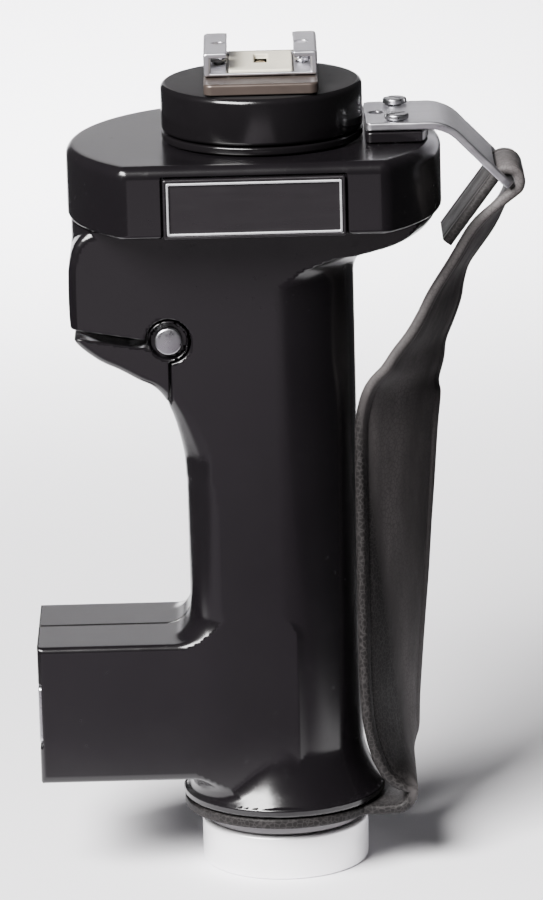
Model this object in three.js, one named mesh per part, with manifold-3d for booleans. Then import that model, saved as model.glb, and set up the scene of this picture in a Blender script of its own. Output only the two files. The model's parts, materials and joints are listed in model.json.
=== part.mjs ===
// Hand grip for a camera or flash: a hollow grip with a round head, a swivelling
// accessory shoe, a squeeze trigger, a leather hand strap and a base knob.
// Millimetres, +Z up, X to the right of the front, +Y to the rear.
// The origin is the middle of the base knob's lower face.
import * as THREE from "three";
import { mergeVertices } from "three/addons/utils/BufferGeometryUtils.js";
import Module from "manifold-3d";

const wasm = await Module();
wasm.setup();

// Shared clearances and walls
const gap = 0.3;
const overrun = 1;
const wall = 2.4;
const degree = Math.PI / 180;

// Base knob, its stud and the brass bush in the foot
const knobRadius = 16.2;
const knobHeight = 8.7;
const knobBevel = 0.8;
const knobRingInset = 0.6;
const knobRingHeight = 2.4;
const studRadius = 3.1;
const studSink = 6;
const studGrip = 12;
const bushWall = 2.6;
const bushFlange = 3;
const bushFlangeThickness = 1.8;

// Hand strap
const strapThickness = 2;
const strapWidth = 24.4;
const strapEndWidth = 16.4;
const strapWasherRadius = 19.5;
const strapBendRadius = 3.6;
const strapFootClearance = 5.2;
const strapReturnLength = 16.2;
// Each row: share of the rise, how far the near and the far edge lie from the grip's right
// side, as shares of the way out to the arm's bar, and the share of the strap's full width
const strapRunShares = [
  [0.063, 0.25, 0.36, 1],
  [0.13, 0.17, 0.368, 1],
  [0.214, 0.11, 0.395, 1],
  [0.281, 0.085, 0.42, 1],
  [0.347, 0.08, 0.446, 1],
  [0.429, 0.078, 0.472, 1],
  [0.495, 0.076, 0.496, 1],
  [0.577, 0.076, 0.523, 1],
  [0.626, 0.08, 0.546, 1],
  [0.664, 0.109, 0.568, 1],
  [0.696, 0.191, 0.589, 1],
  [0.727, 0.253, 0.61, 0.9],
  [0.759, 0.334, 0.654, 0.75],
  [0.791, 0.415, 0.696, 0.6],
  [0.822, 0.484, 0.719, 0.45],
  [0.853, 0.565, 0.734, 0.3],
  [0.882, 0.628, 0.801, 0.15],
];
const strapLeanShare = 0.75;

// Grip column and foot
const gripLength = 116.5;
const gripLeft = 17.2;
const gripRight = 15.7;
const gripHalfDepth = 15.5;
const gripCornerRadius = 6;
const footRadius = 19.7;
const footRimHeight = 1.8;
const footFlareHeight = 12.5;
const footFlareShares = [
  [0, 1],
  [0.12, 0.55],
  [0.35, 0.25],
  [0.65, 0.08],
  [1, 0],
];

// Bracket box low on the left
const boxReach = 47;
const boxBottom = 20.5;
const boxHeight = 27.4;
const boxFillet = 5;
const socketHeight = 6.4;
const socketDepth = 22;
const socketSheet = 0.8;
const socketFlange = 1.8;
const socketFlangeThickness = 1;
const leafThickness = 0.4;
const leafWidth = 8;
const leafLengthShare = 0.6;

// Round head
const drumRadius = 35.7;
const drumShift = 2.9;
const drumFlat = 25.5;
const capHeight = 13.8;
const capBevel = 0.9;
const capTopBevel = 2;
const bowlDepth = 6.4;
const bowlFloorRadius = 23.8;
const bowlShares = [
  [0, 0],
  [0.52, 0.28],
  [0.78, 0.52],
  [0.92, 0.76],
  [1, 1],
];
const neckHeight = 11.5;
const neckReach = 5.2;
const neckShares = [
  [0, 0],
  [0.21, 0.17],
  [0.6, 0.43],
  [0.85, 0.7],
  [1, 1],
];
const headRoundWidth = 6;
const headRoundHeight = 10.7;

// Nameplate
const plateWidth = 34.2;
const plateHeight = 11.4;
const plateBorder = 0.8;
const plateThickness = 0.6;
const plateRelief = 0.3;
const platePocket = 0.7;

// Trigger, its pin and the lock plunger
const pinBehindEdge = 2.7;
const pinBelowHead = 22.2;
const pinRadius = 1.6;
const pinHeadRadius = 2.6;
const pinHeadRecess = 0.9;
const pinHeadThickness = 1.4;
const pinProud = 0.3;
const hubRadius = 4;
const slitAngle = 9.7;
const slitDrop = 1.2;
const slitWidth = 1.5;
const triggerTipRise = 0.4;
const undersideHeight = 28;
const undersideShares = [
  [0.014, 0.018],
  [0.084, 0.054],
  [0.257, 0.146],
  [0.435, 0.214],
  [0.607, 0.289],
  [0.73, 0.34],
  [0.82, 0.42],
  [0.89, 0.54],
  [0.94, 0.68],
  [0.98, 0.84],
  [1, 1],
];
const lugThickness = 3;
const lugInset = 8;
const lugRadius = 4.6;
const forkThickness = 2;
const forkHalfWidth = 5;
const forkSwing = 0.6;
const plungerOffset = 10;
const plungerRadius = 2;
const plungerCollarRadius = 4;
const plungerCollarThickness = 1.8;
const springLength = 7.4;
const springWire = 0.8;
const springTurns = 6;
const guideThickness = 3;
const plungerTail = 3;
const padRadius = 3;
const padThickness = 2;

// Turret and its spindle
const turretShift = 1.1;
const turretRadius = 19.2;
const collarHeight = 1.5;
const turretHeight = 9;
const turretBevel = 1;
const spindleRadius = 3.5;
const spindleHeadRadius = 7;
const spindleHeadHeight = 2.7;
const spindleBushWall = 2;
const spindleBossWall = 2.7;
const spindleBossDrop = 5.6;
const brakeRadius = 13;
const brakeThickness = 3;
const nutRadius = 5;
const nutHeight = 2.9;

// Accessory shoe
const shoeBaseWidth = 21.6;
const shoeBaseLength = 32.8;
const shoeBaseThickness = 2.1;
const shoeWidth = 21.5;
const shoeLength = 20;
const shoeHeight = 4.5;
const shoeFloor = 0.6;
const shoeSheet = 1.2;
const lipThickness = 1;
const lipGap = 12.5;
const insulatorWidth = 12;
const insulatorProud = 0.4;
const contactWell = 2.7;
const contactRadius = 0.9;
const shoeScrewHead = 1.5;
const shoeScrewRadius = 0.9;
const shoeScrewHeadHeight = 0.8;
const shoeScrewLength = 7;

// Strap arm
const armSheet = 1.5;
const armRail = 1.75;
const armPadThickness = 2;
const armEdgeSetback = 2.4;
const armBendRadius = 8;
const armBendAngle = 46;
const armDropLength = 13;
const armBarWidth = 1.7;
const armScrewSpan = 14.6;
const armScrewHead = 2.3;
const armScrewHeadHeight = 1;
const armScrewRadius = 1.2;
const armScrewGrip = 6;
const armHoleRadius = 1.3;
const armHoleInset = 2.2;

// Shell and cap screws
const bossRadius = 3.4;
const screwRadius = 1.2;
const screwHeadRadius = 2.5;
const screwHeadHeight = 1.8;
const screwInset = 7.5;
const gripScrewShares = [0.28, 0.6, 0.86];
const headScrewDrop = 9.4;
const headScrewInset = 8.6;
const boxScrewDrop = 4.6;
const boxScrewInset = 17;
const capScrewInset = 7.5;
const capScrewAngles = [45, 90, 135];
const capScrewSeat = 1.3;
const capScrewGrip = 10;

// Facet counts and the distance below which corners are one
const fine = 56;
const middling = 30;
const coarse = 16;
const arcSteps = 6;
const hexSides = 6;
const springSides = 5;
const weldTolerance = 1e-4;

// Heights worked out from the stack
const knobTopZ = knobHeight + knobRingHeight;
const strapZ = knobTopZ + gap;
const footZ = strapZ + strapThickness + gap;
const capZ = footZ + gripLength;
const shellTopZ = capZ - gap;
const drumTopZ = capZ + capHeight;
const collarZ = drumTopZ + gap;
const turretZ = collarZ + collarHeight + gap;
const turretTopZ = turretZ + turretHeight;
const shoeBaseZ = turretTopZ + gap;
const shoeZ = shoeBaseZ + shoeBaseThickness + gap;
const boxTop = boxBottom + boxHeight;
const socketZ = boxBottom + boxHeight / 2;
const socketWidth = 2 * (gripHalfDepth - wall - gap - socketSheet);
const drumX = -drumShift;
const turretX = -turretShift;
const headLeftX = drumX - drumRadius;
const pinX = -gripLeft - pinBehindEdge;
const pinZ = capZ - pinBelowHead;
const plungerX = pinX + plungerOffset;
const bowlRadius = drumRadius - capBevel;
const bowlFloorZ = shellTopZ - bowlDepth;
const capScrewRing = drumRadius - capScrewInset;
const bowlMouthRadius = capScrewRing - screwRadius - gap;

// Strap arm places
const armX = turretX + turretRadius + gap;
const armZ = collarZ + armPadThickness + gap;
const armWidth = strapEndWidth + 2 * gap + 2 * armRail;
const armBendX = drumX + drumRadius - armEdgeSetback;
const armMidZ = armZ + armSheet / 2;
const bendEndX = armBendX + armBendRadius * Math.sin(armBendAngle * degree);
const bendEndZ = armMidZ - armBendRadius * (1 - Math.cos(armBendAngle * degree));
const barX = bendEndX + armDropLength * Math.cos(armBendAngle * degree);
const barZ = bendEndZ - armDropLength * Math.sin(armBendAngle * degree);
const armScrewX = (armX + armBendX) / 2;
const armHoleX = armX + armHoleInset;

// Materials
const paint = (color, roughness, metalness) =>
  new THREE.MeshStandardMaterial({ color, roughness, metalness });
const blackPlastic = () => paint(0x1b191c, 0.3, 0);
const aluminium = () => paint(0xc9c7cf, 0.35, 0.9);
const steel = () => paint(0x9a9aa0, 0.35, 1);
const brass = () => paint(0xb08d4a, 0.35, 1);
const leather = () => paint(0x3b3836, 0.75, 0);
const ivory = () => paint(0xd2ccb8, 0.5, 0);
const cork = () => paint(0x6a5a48, 0.9, 0);

// A closed three.js geometry as a solid
function solid(geometry) {
  const bare = geometry.clone();
  bare.deleteAttribute("normal");
  bare.deleteAttribute("uv");
  const merged = mergeVertices(bare, weldTolerance);
  const corners = [];
  for (let i = 0; i < merged.index.count; i += 3) {
    const [a, b, c] = [0, 1, 2].map((k) => merged.index.getX(i + k));
    if (a !== b && b !== c && c !== a) corners.push(a, b, c);
  }
  return new wasm.Manifold(
    new wasm.Mesh({
      numProp: 3,
      vertProperties: new Float32Array(merged.attributes.position.array),
      triVerts: new Uint32Array(corners),
    }),
  );
}

const join = (...solids) => solids.reduce((a, b) => a.add(b));
const cut = (body, ...tools) => tools.reduce((a, b) => a.subtract(b), body);

function block(x0, x1, y0, y1, z0, z1) {
  const shape = new THREE.BoxGeometry(x1 - x0, y1 - y0, z1 - z0);
  return solid(shape.translate((x0 + x1) / 2, (y0 + y1) / 2, (z0 + z1) / 2));
}

// A round bar standing up
function upright(radius, z0, z1, x, y, sides = coarse) {
  const shape = new THREE.CylinderGeometry(radius, radius, z1 - z0, sides);
  return solid(shape.rotateX(90 * degree).translate(x, y, (z0 + z1) / 2));
}

// A round bar lying front to back
function crosswise(radius, y0, y1, x, z, sides = coarse) {
  const shape = new THREE.CylinderGeometry(radius, radius, y1 - y0, sides);
  return solid(shape.translate(x, (y0 + y1) / 2, z));
}

// A profile of [radius, height] pairs, from the axis up and back to it, turned about an upright axis
function turned(profile, x, y, sides = middling) {
  const points = profile.map(([r, z]) => new THREE.Vector2(r, z));
  const shape = new THREE.LatheGeometry(points, sides);
  return solid(shape.rotateX(90 * degree).translate(x, y, 0));
}

// A disc with both rims bevelled
function bevelledDisc(radius, z0, z1, bevel, x, y, sides = middling) {
  const profile = [
    [0, z0],
    [radius - bevel, z0],
    [radius, z0 + bevel],
    [radius, z1 - bevel],
    [radius - bevel, z1],
    [0, z1],
  ];
  return turned(profile, x, y, sides);
}

const outlineOf = (points) => new THREE.Shape(points.map(([a, b]) => new THREE.Vector2(a, b)));

// An outline drawn in X and Z, thick from y0 to y1
function slab(outline, y0, y1) {
  const shape = new THREE.ExtrudeGeometry(outline, {
    depth: y1 - y0,
    bevelEnabled: false,
    curveSegments: arcSteps,
  });
  return solid(shape.rotateX(90 * degree).translate(0, y1, 0));
}

// An outline drawn in X and Y, standing from z0 to z1
function pillar(outline, z0, z1) {
  const shape = new THREE.ExtrudeGeometry(outline, {
    depth: z1 - z0,
    bevelEnabled: false,
    curveSegments: arcSteps,
  });
  return solid(shape.translate(0, 0, z0));
}

const group = new THREE.Group();

function place(name, body, material) {
  const data = body.getMesh();
  const positions = new Float32Array(data.numVert * 3);
  for (let i = 0; i < data.numVert; i++) {
    const from = i * data.numProp;
    positions.set(data.vertProperties.subarray(from, from + 3), i * 3);
  }
  const geometry = new THREE.BufferGeometry();
  geometry.setAttribute("position", new THREE.BufferAttribute(positions, 3));
  geometry.setIndex(new THREE.BufferAttribute(new Uint32Array(data.triVerts), 1));
  geometry.computeVertexNormals();
  const mesh = new THREE.Mesh(geometry, material);
  mesh.name = name;
  group.add(mesh);
}

// The grip's section: flat front, rear and left, half round on the right
function gripSection(inset) {
  const halfDepth = gripHalfDepth - inset;
  const left = -gripLeft + inset;
  const corner = Math.max(gripCornerRadius - inset, inset / 4 + gap);
  const round = gripRight - gripHalfDepth;
  const shape = new THREE.Shape();
  shape.moveTo(left + corner, -halfDepth);
  shape.lineTo(round, -halfDepth);
  shape.absarc(round, 0, halfDepth, -90 * degree, 90 * degree, false);
  shape.lineTo(left + corner, halfDepth);
  shape.absarc(left + corner, halfDepth - corner, corner, 90 * degree, 180 * degree, false);
  shape.lineTo(left, -halfDepth + corner);
  shape.absarc(left + corner, -halfDepth + corner, corner, 180 * degree, 270 * degree, false);
  return shape;
}

// A point measured from the trigger pin, along the slit to the left and square up from it
function fromPin(along, up) {
  const c = Math.cos(slitAngle * degree);
  const s = Math.sin(slitAngle * degree);
  return [pinX - along * c + up * s, pinZ + along * s + up * c];
}

// The left half of the head seen from the front, trigger included
function headOutline() {
  const tipZ = pinZ + triggerTipRise;
  const underside = undersideShares.map(
    ([x, z]) =>
      new THREE.Vector2(headLeftX + x * (-gripLeft - headLeftX), tipZ - z * undersideHeight),
  );
  const shape = new THREE.Shape();
  shape.moveTo(drumX, shellTopZ);
  shape.lineTo(headLeftX + headRoundWidth, shellTopZ);
  shape.quadraticCurveTo(headLeftX, shellTopZ, headLeftX, shellTopZ - headRoundHeight);
  shape.lineTo(headLeftX, tipZ);
  new THREE.SplineCurve(underside)
    .getPoints(2 * arcSteps)
    .forEach((point) => shape.lineTo(point.x, point.y));
  shape.lineTo(drumX, tipZ - undersideHeight);
  return shape;
}

// The space that belongs to the trigger, widened by a margin
function triggerSpace(topEdge, margin) {
  const reach = 2 * (pinX - headLeftX);
  const low = pinZ + triggerTipRise - undersideHeight - overrun;
  const outline = outlineOf([
    fromPin(0, topEdge),
    fromPin(reach, topEdge),
    [pinX - reach, low],
    [pinX + margin, low],
    [pinX + margin, pinZ],
  ]);
  const deep = gripHalfDepth + overrun;
  return join(
    slab(outline, -deep, deep),
    crosswise(hubRadius + margin, -deep, deep, pinX, pinZ, middling),
  );
}

// The box that takes the bracket, with a fillet up to the grip
function boxOutline() {
  const shape = new THREE.Shape();
  shape.moveTo(0, boxBottom);
  shape.lineTo(0, boxTop + boxFillet);
  shape.lineTo(-gripLeft, boxTop + boxFillet);
  shape.absarc(-gripLeft - boxFillet, boxTop + boxFillet, boxFillet, 0, -90 * degree, true);
  shape.lineTo(-boxReach, boxTop);
  shape.lineTo(-boxReach, boxBottom);
  return shape;
}

// The trumpet shape of the foot, outside and inside
function footBody(inset) {
  const neck = gripHalfDepth - inset;
  const rimTop = footZ + footRimHeight + inset;
  const flare = footFlareShares.map(([up, out]) => [
    neck + out * (footRadius - inset - neck),
    rimTop + up * footFlareHeight,
  ]);
  const bottom = footZ + inset;
  return turned(
    [[0, bottom], [footRadius - inset, bottom], ...flare, [0, rimTop + footFlareHeight]],
    0,
    0,
    fine,
  );
}

// The dish under the round head
function bowl() {
  const profile = bowlShares.map(([out, up]) => [
    bowlFloorRadius + out * (bowlRadius - bowlFloorRadius),
    bowlFloorZ + up * bowlDepth,
  ]);
  return turned([[0, bowlFloorZ], ...profile, [0, shellTopZ]], drumX, 0, fine);
}

// The hollow in the dish
function bowlHollow() {
  const floor = bowlFloorZ + wall;
  const profile = [
    [0, floor],
    [bowlMouthRadius - 2 * wall, floor],
    [bowlMouthRadius, shellTopZ],
    [bowlMouthRadius, shellTopZ + overrun],
    [0, shellTopZ + overrun],
  ];
  return turned(profile, drumX, 0, fine);
}

// The neck that spreads from the grip's round right side up to the dish
function neck() {
  const low = bowlFloorZ - neckHeight;
  const middle = gripRight - gripHalfDepth;
  const profile = neckShares.map(([up, out]) => [
    gripHalfDepth + out * neckReach,
    low + up * neckHeight,
  ]);
  return turned([[0, low], ...profile, [0, bowlFloorZ]], middle, 0, fine).intersect(
    block(middle, middle + 2 * gripHalfDepth, -gripHalfDepth, gripHalfDepth, low - overrun, shellTopZ),
  );
}

// Screws from the rear that hold the two shells together: [x, z]
const shellScrews = [
  ...gripScrewShares.map((share) => [gripRight - screwInset, footZ + share * gripLength]),
  [headLeftX + headScrewInset, shellTopZ - headScrewDrop],
  [-boxReach + boxScrewInset, boxTop - boxScrewDrop],
];

// Screws from below that hold the cap: [x, y]
const capScrews = capScrewAngles.map((angle) => [
  drumX + capScrewRing * Math.cos(angle * degree),
  capScrewRing * Math.sin(angle * degree),
]);

const bushRadius = studRadius + gap + bushWall;
const forkSlot = forkHalfWidth + gap;
const linerHalfWidth = socketWidth / 2 + socketSheet;
const linerHalfHeight = socketHeight / 2 + socketSheet;

function shellBody() {
  const deep = gripHalfDepth;
  const inner = gripHalfDepth - wall;
  const floorZ = footZ + wall;
  const below = drumRadius + overrun;
  const frontCut = block(
    drumX - 2 * drumRadius,
    drumX + 2 * drumRadius,
    -2 * drumRadius,
    -gripHalfDepth,
    footZ + footRimHeight + footFlareHeight,
    drumTopZ,
  );
  const outside = cut(
    join(
      pillar(gripSection(0), footZ + footRimHeight, shellTopZ),
      footBody(0),
      slab(boxOutline(), -deep, deep),
      slab(headOutline(), -deep, deep),
      leftEnd(0, pinZ, shellTopZ),
      neck(),
      cut(bowl(), frontCut),
    ),
    triggerSpace(slitWidth / 2 - slitDrop, gap),
  );
  const hollowLow = pinZ + hubRadius + gap + wall;
  const headHollow = outlineOf([
    [headLeftX + wall, hollowLow],
    [headLeftX + wall, shellTopZ - headRoundHeight],
    [headLeftX + wall + headRoundWidth, shellTopZ + overrun],
    [drumX, shellTopZ + overrun],
    [drumX, hollowLow],
  ]);
  const frontWall = block(
    drumX - below,
    drumX + below,
    -below,
    -inner,
    footZ,
    drumTopZ,
  );
  const hollows = join(
    pillar(gripSection(wall), floorZ, shellTopZ + overrun),
    footBody(wall),
    slab(headHollow, -inner, inner),
    block(-boxReach + wall, 0, -inner, inner, boxBottom + wall, boxTop - wall),
    cut(bowlHollow(), frontWall),
  );
  const bosses = shellScrews.map(([x, z]) => crosswise(bossRadius, -deep, deep, x, z));
  const bossTrim = join(
    pillar(gripSection(wall / 2), floorZ, shellTopZ),
    slab(headHollow, -inner - wall / 2, inner + wall / 2),
    block(-boxReach + wall / 2, 0, -inner, inner, boxBottom + wall / 2, boxTop - wall / 2),
  );
  const lugs = [-1, 1].map((side) => {
    const y = side * (lugInset + lugThickness / 2);
    return cut(
      join(
        crosswise(lugRadius, y - lugThickness / 2, y + lugThickness / 2, pinX, pinZ, middling),
        block(
          pinX,
          -gripLeft + wall,
          y - lugThickness / 2,
          y + lugThickness / 2,
          pinZ - lugRadius,
          pinZ + lugRadius,
        ),
      ),
      crosswise(pinRadius + gap, y - lugThickness, y + lugThickness, pinX, pinZ),
    );
  });
  const walled = join(cut(outside, hollows), ...bosses.map((boss) => boss.intersect(bossTrim)));
  const forkWindow = block(
    pinX,
    -gripLeft + wall + overrun,
    -forkSlot,
    forkSlot,
    pinZ - forkThickness / 2 - gap - forkSwing,
    pinZ + forkThickness / 2 + gap,
  );
  const socketHole = join(
    block(
      -boxReach - overrun,
      -boxReach + wall + overrun,
      -linerHalfWidth - gap,
      linerHalfWidth + gap,
      socketZ - linerHalfHeight - gap,
      socketZ + linerHalfHeight + gap,
    ),
    block(
      -boxReach - overrun,
      -boxReach + socketFlangeThickness + gap,
      -linerHalfWidth - socketFlange - gap,
      linerHalfWidth + socketFlange + gap,
      socketZ - linerHalfHeight - socketFlange - gap,
      socketZ + linerHalfHeight + socketFlange + gap,
    ),
  );
  const seatY = deep - screwHeadHeight - gap - pinProud;
  const screwHoles = shellScrews.flatMap(([x, z]) => [
    crosswise(screwRadius + gap, -inner + overrun, deep + overrun, x, z),
    crosswise(screwHeadRadius + gap, seatY, deep + overrun, x, z),
  ]);
  const capHoles = capScrews.flatMap(([x, y]) => [
    upright(screwRadius + gap, footZ + gripLength / 2, shellTopZ + overrun, x, y),
    upright(screwHeadRadius + gap, bowlFloorZ - overrun, shellTopZ - capScrewSeat, x, y),
  ]);
  const bushHole = upright(bushRadius + gap, footZ - overrun, floorZ + overrun, 0, 0, middling);
  return cut(
    join(walled, ...lugs),
    forkWindow,
    socketHole,
    bushHole,
    ...screwHoles,
    ...capHoles,
  );
}

// The round left end of the head, upright from the trigger to the cap's top
function leftEnd(inset, z0, z1) {
  const half = gripHalfDepth - inset;
  return upright(drumRadius - inset, z0, z1, drumX, 0, fine).intersect(
    block(drumX - 2 * drumRadius, -gripLeft, -half, half, z0 - overrun, z1 + overrun),
  );
}

const shells = shellBody();
const farSide = 2 * (boxReach + drumRadius);
const halfSpace = (y0, y1) => block(-farSide, farSide, y0, y1, 0, farSide);
place("grip_shell_front", shells.intersect(halfSpace(-farSide, -gap / 2)), blackPlastic());
place("grip_shell_rear", shells.intersect(halfSpace(gap / 2, farSide)), blackPlastic());

// Round cap of the head, cut flat in front
function capBody() {
  const top = drumTopZ;
  const flatCut = block(
    drumX - 2 * drumRadius,
    drumX + 2 * drumRadius,
    -2 * drumRadius,
    -drumFlat,
    capZ - overrun,
    top + overrun,
  );
  const outside = cut(
    turned(
      [
        [0, capZ],
        [drumRadius - capBevel, capZ],
        [drumRadius, capZ + capBevel],
        [drumRadius, top - capTopBevel],
        [drumRadius - capTopBevel, top],
        [0, top],
      ],
      drumX,
      0,
      fine,
    ).add(leftEnd(0, capZ, capZ + capBevel + overrun)),
    flatCut,
  );
  const keepOff = (y) =>
    block(
      drumX - 2 * drumRadius,
      drumX + 2 * drumRadius,
      -2 * drumRadius,
      y,
      capZ - 2 * overrun,
      top + overrun,
    );
  const hollow = join(
    cut(
      upright(drumRadius - wall, capZ + wall, top - wall, drumX, 0, fine),
      keepOff(-drumFlat + wall),
    ),
    cut(
      upright(bowlMouthRadius, capZ - overrun, top - wall, drumX, 0, fine),
      keepOff(-gripHalfDepth + wall),
    ),
  );
  const bossBottom = top - wall - spindleBossDrop;
  const bossRadiusOut = spindleRadius + 2 * gap + spindleBushWall + spindleBossWall;
  const posts = [
    upright(bossRadiusOut, bossBottom, top, turretX, 0, middling),
    ...armScrewPlaces.map(([x, y]) => upright(bossRadius, armScrewEndZ - wall, top, x, y)),
    ...capScrews.map(([x, y]) => upright(bossRadius, capZ, top, x, y)),
  ];
  const bushRoom = spindleRadius + gap + spindleBushWall + gap;
  const frontPocket = block(
    drumX - plateWidth / 2 - gap,
    drumX + plateWidth / 2 + gap,
    -drumFlat - overrun,
    -drumFlat + platePocket,
    capZ - overrun,
    plateZ + plateHeight / 2 + gap,
  );
  return cut(
    cut(outside, cut(hollow, ...posts)),
    frontPocket,
    upright(bushRoom, bossBottom - overrun, top + overrun, turretX, 0, middling),
    ...armScrewPlaces.map(([x, y]) =>
      upright(armScrewRadius + gap, armScrewEndZ - gap, top + overrun, x, y),
    ),
    ...capScrews.map(([x, y]) =>
      upright(screwRadius + gap, capZ - overrun, capZ + capScrewGrip - capScrewSeat, x, y),
    ),
  );
}

const plateZ = capZ + plateHeight / 2;
const armScrewEndZ = drumTopZ - armScrewGrip;
const armScrewPlaces = [-1, 1].map((side) => [armScrewX, (side * armScrewSpan) / 2]);
place("drum_cap", capBody(), blackPlastic());

// Bare nameplate with a raised border
{
  const back = -drumFlat + platePocket - gap;
  const face = back - plateThickness;
  const halfWidth = plateWidth / 2;
  const halfHeight = plateHeight / 2;
  const frame = block(
    drumX - halfWidth,
    drumX + halfWidth,
    face - plateRelief,
    back,
    plateZ - halfHeight,
    plateZ + halfHeight,
  );
  const field = block(
    drumX - halfWidth + plateBorder,
    drumX + halfWidth - plateBorder,
    face - plateRelief - overrun,
    face,
    plateZ - halfHeight + plateBorder,
    plateZ + halfHeight - plateBorder,
  );
  place("nameplate", cut(frame, field), aluminium());
}

// Turret: fixed collar, turning disc, and the spindle that carries the disc
const spindleHole = spindleRadius + gap;
place(
  "turret_collar",
  cut(
    bevelledDisc(turretRadius, collarZ, collarZ + collarHeight, gap, turretX, 0, fine),
    upright(spindleHole, collarZ - overrun, turretZ, turretX, 0),
  ),
  blackPlastic(),
);
const spindleHeadZ = turretTopZ - spindleHeadHeight - gap;
place(
  "turret_disc",
  cut(
    bevelledDisc(turretRadius, turretZ, turretTopZ, turretBevel, turretX, 0, fine),
    upright(spindleHole, turretZ - overrun, turretTopZ + overrun, turretX, 0),
    upright(spindleHeadRadius + gap, spindleHeadZ - gap, turretTopZ + overrun, turretX, 0),
    ...[-1, 1].map((side) =>
      upright(
        shoeScrewRadius + gap,
        shoeScrewEndZ() - gap,
        turretTopZ + overrun,
        turretX + side * shoeScrewX(),
        0,
      ),
    ),
  ),
  blackPlastic(),
);
function shoeScrewX() {
  return (shoeWidth / 2 - shoeSheet + insulatorWidth / 2 + gap) / 2;
}
function shoeScrewEndZ() {
  return shoeZ + shoeFloor + gap - shoeScrewLength;
}
const bossEndZ = drumTopZ - wall - spindleBossDrop;
const brakeZ = bossEndZ - gap - brakeThickness;
const nutZ = brakeZ - gap - nutHeight;
place(
  "turret_spindle",
  join(
    upright(spindleRadius, nutZ - gap, spindleHeadZ + gap, turretX, 0),
    upright(spindleHeadRadius, spindleHeadZ, spindleHeadZ + spindleHeadHeight, turretX, 0),
  ),
  steel(),
);
place(
  "spindle_bush",
  cut(
    upright(spindleHole + spindleBushWall, bossEndZ, drumTopZ, turretX, 0),
    upright(spindleHole, bossEndZ - overrun, drumTopZ + overrun, turretX, 0),
  ),
  brass(),
);
place(
  "brake_disc",
  cut(
    upright(brakeRadius, brakeZ, brakeZ + brakeThickness, turretX, 0, middling),
    upright(spindleHole, brakeZ - overrun, brakeZ + brakeThickness + overrun, turretX, 0),
  ),
  steel(),
);
place(
  "spindle_nut",
  cut(
    upright(nutRadius, nutZ, nutZ + nutHeight, turretX, 0, hexSides),
    upright(spindleHole, nutZ - overrun, nutZ + nutHeight + overrun, turretX, 0),
  ),
  steel(),
);

// Accessory shoe on its base plate
{
  const x0 = turretX;
  const halfBase = shoeBaseWidth / 2;
  const halfLength = shoeLength / 2;
  const screwXs = [-1, 1].map((side) => x0 + side * shoeScrewX());
  const holes = (z0, z1) => screwXs.map((x) => upright(shoeScrewRadius + gap, z0, z1, x, 0));
  const baseTop = shoeBaseZ + shoeBaseThickness;
  place(
    "shoe_base",
    cut(
      block(
        x0 - halfBase,
        x0 + halfBase,
        -shoeBaseLength / 2,
        shoeBaseLength / 2,
        shoeBaseZ,
        baseTop,
      ),
      ...holes(shoeBaseZ - overrun, baseTop + overrun),
    ),
    paint(0x4a4038, 0.45, 0.3),
  );
  const inner = shoeWidth / 2 - shoeSheet;
  const shoeTop = shoeZ + shoeHeight;
  const windowHalf = insulatorWidth / 2 + gap;
  const windowLength = halfLength - shoeSheet / 2;
  place(
    "accessory_shoe",
    cut(
      block(x0 - shoeWidth / 2, x0 + shoeWidth / 2, -halfLength, halfLength, shoeZ, shoeTop),
      block(
        x0 - inner,
        x0 + inner,
        -halfLength - overrun,
        halfLength + overrun,
        shoeZ + shoeFloor,
        shoeTop - lipThickness,
      ),
      block(
        x0 - lipGap / 2,
        x0 + lipGap / 2,
        -halfLength - overrun,
        halfLength + overrun,
        shoeZ + shoeFloor,
        shoeTop + overrun,
      ),
      block(
        x0 - windowHalf,
        x0 + windowHalf,
        -windowLength,
        windowLength,
        shoeZ - overrun,
        shoeZ + shoeFloor + overrun,
      ),
      ...holes(shoeZ - overrun, shoeZ + shoeFloor + overrun),
    ),
    aluminium(),
  );
  const insulatorTop = shoeZ + shoeFloor + insulatorProud;
  const halfWell = contactWell / 2;
  place(
    "shoe_insulator",
    cut(
      block(
        x0 - insulatorWidth / 2,
        x0 + insulatorWidth / 2,
        -windowLength + gap,
        windowLength - gap,
        shoeZ,
        insulatorTop,
      ),
      block(
        x0 - halfWell,
        x0 + halfWell,
        -halfWell,
        halfWell,
        shoeZ - overrun,
        insulatorTop + overrun,
      ),
    ),
    ivory(),
  );
  place("shoe_contact", upright(contactRadius, shoeZ, insulatorTop - gap, x0, 0), brass());
  ["left", "right"].forEach((side, i) => {
    const headZ = shoeZ + shoeFloor + gap;
    place(
      "shoe_screw_" + side,
      join(
        upright(shoeScrewHead, headZ, headZ + shoeScrewHeadHeight, screwXs[i], 0),
        upright(shoeScrewRadius, shoeScrewEndZ(), headZ + gap, screwXs[i], 0),
      ),
      steel(),
    );
  });
}

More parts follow.
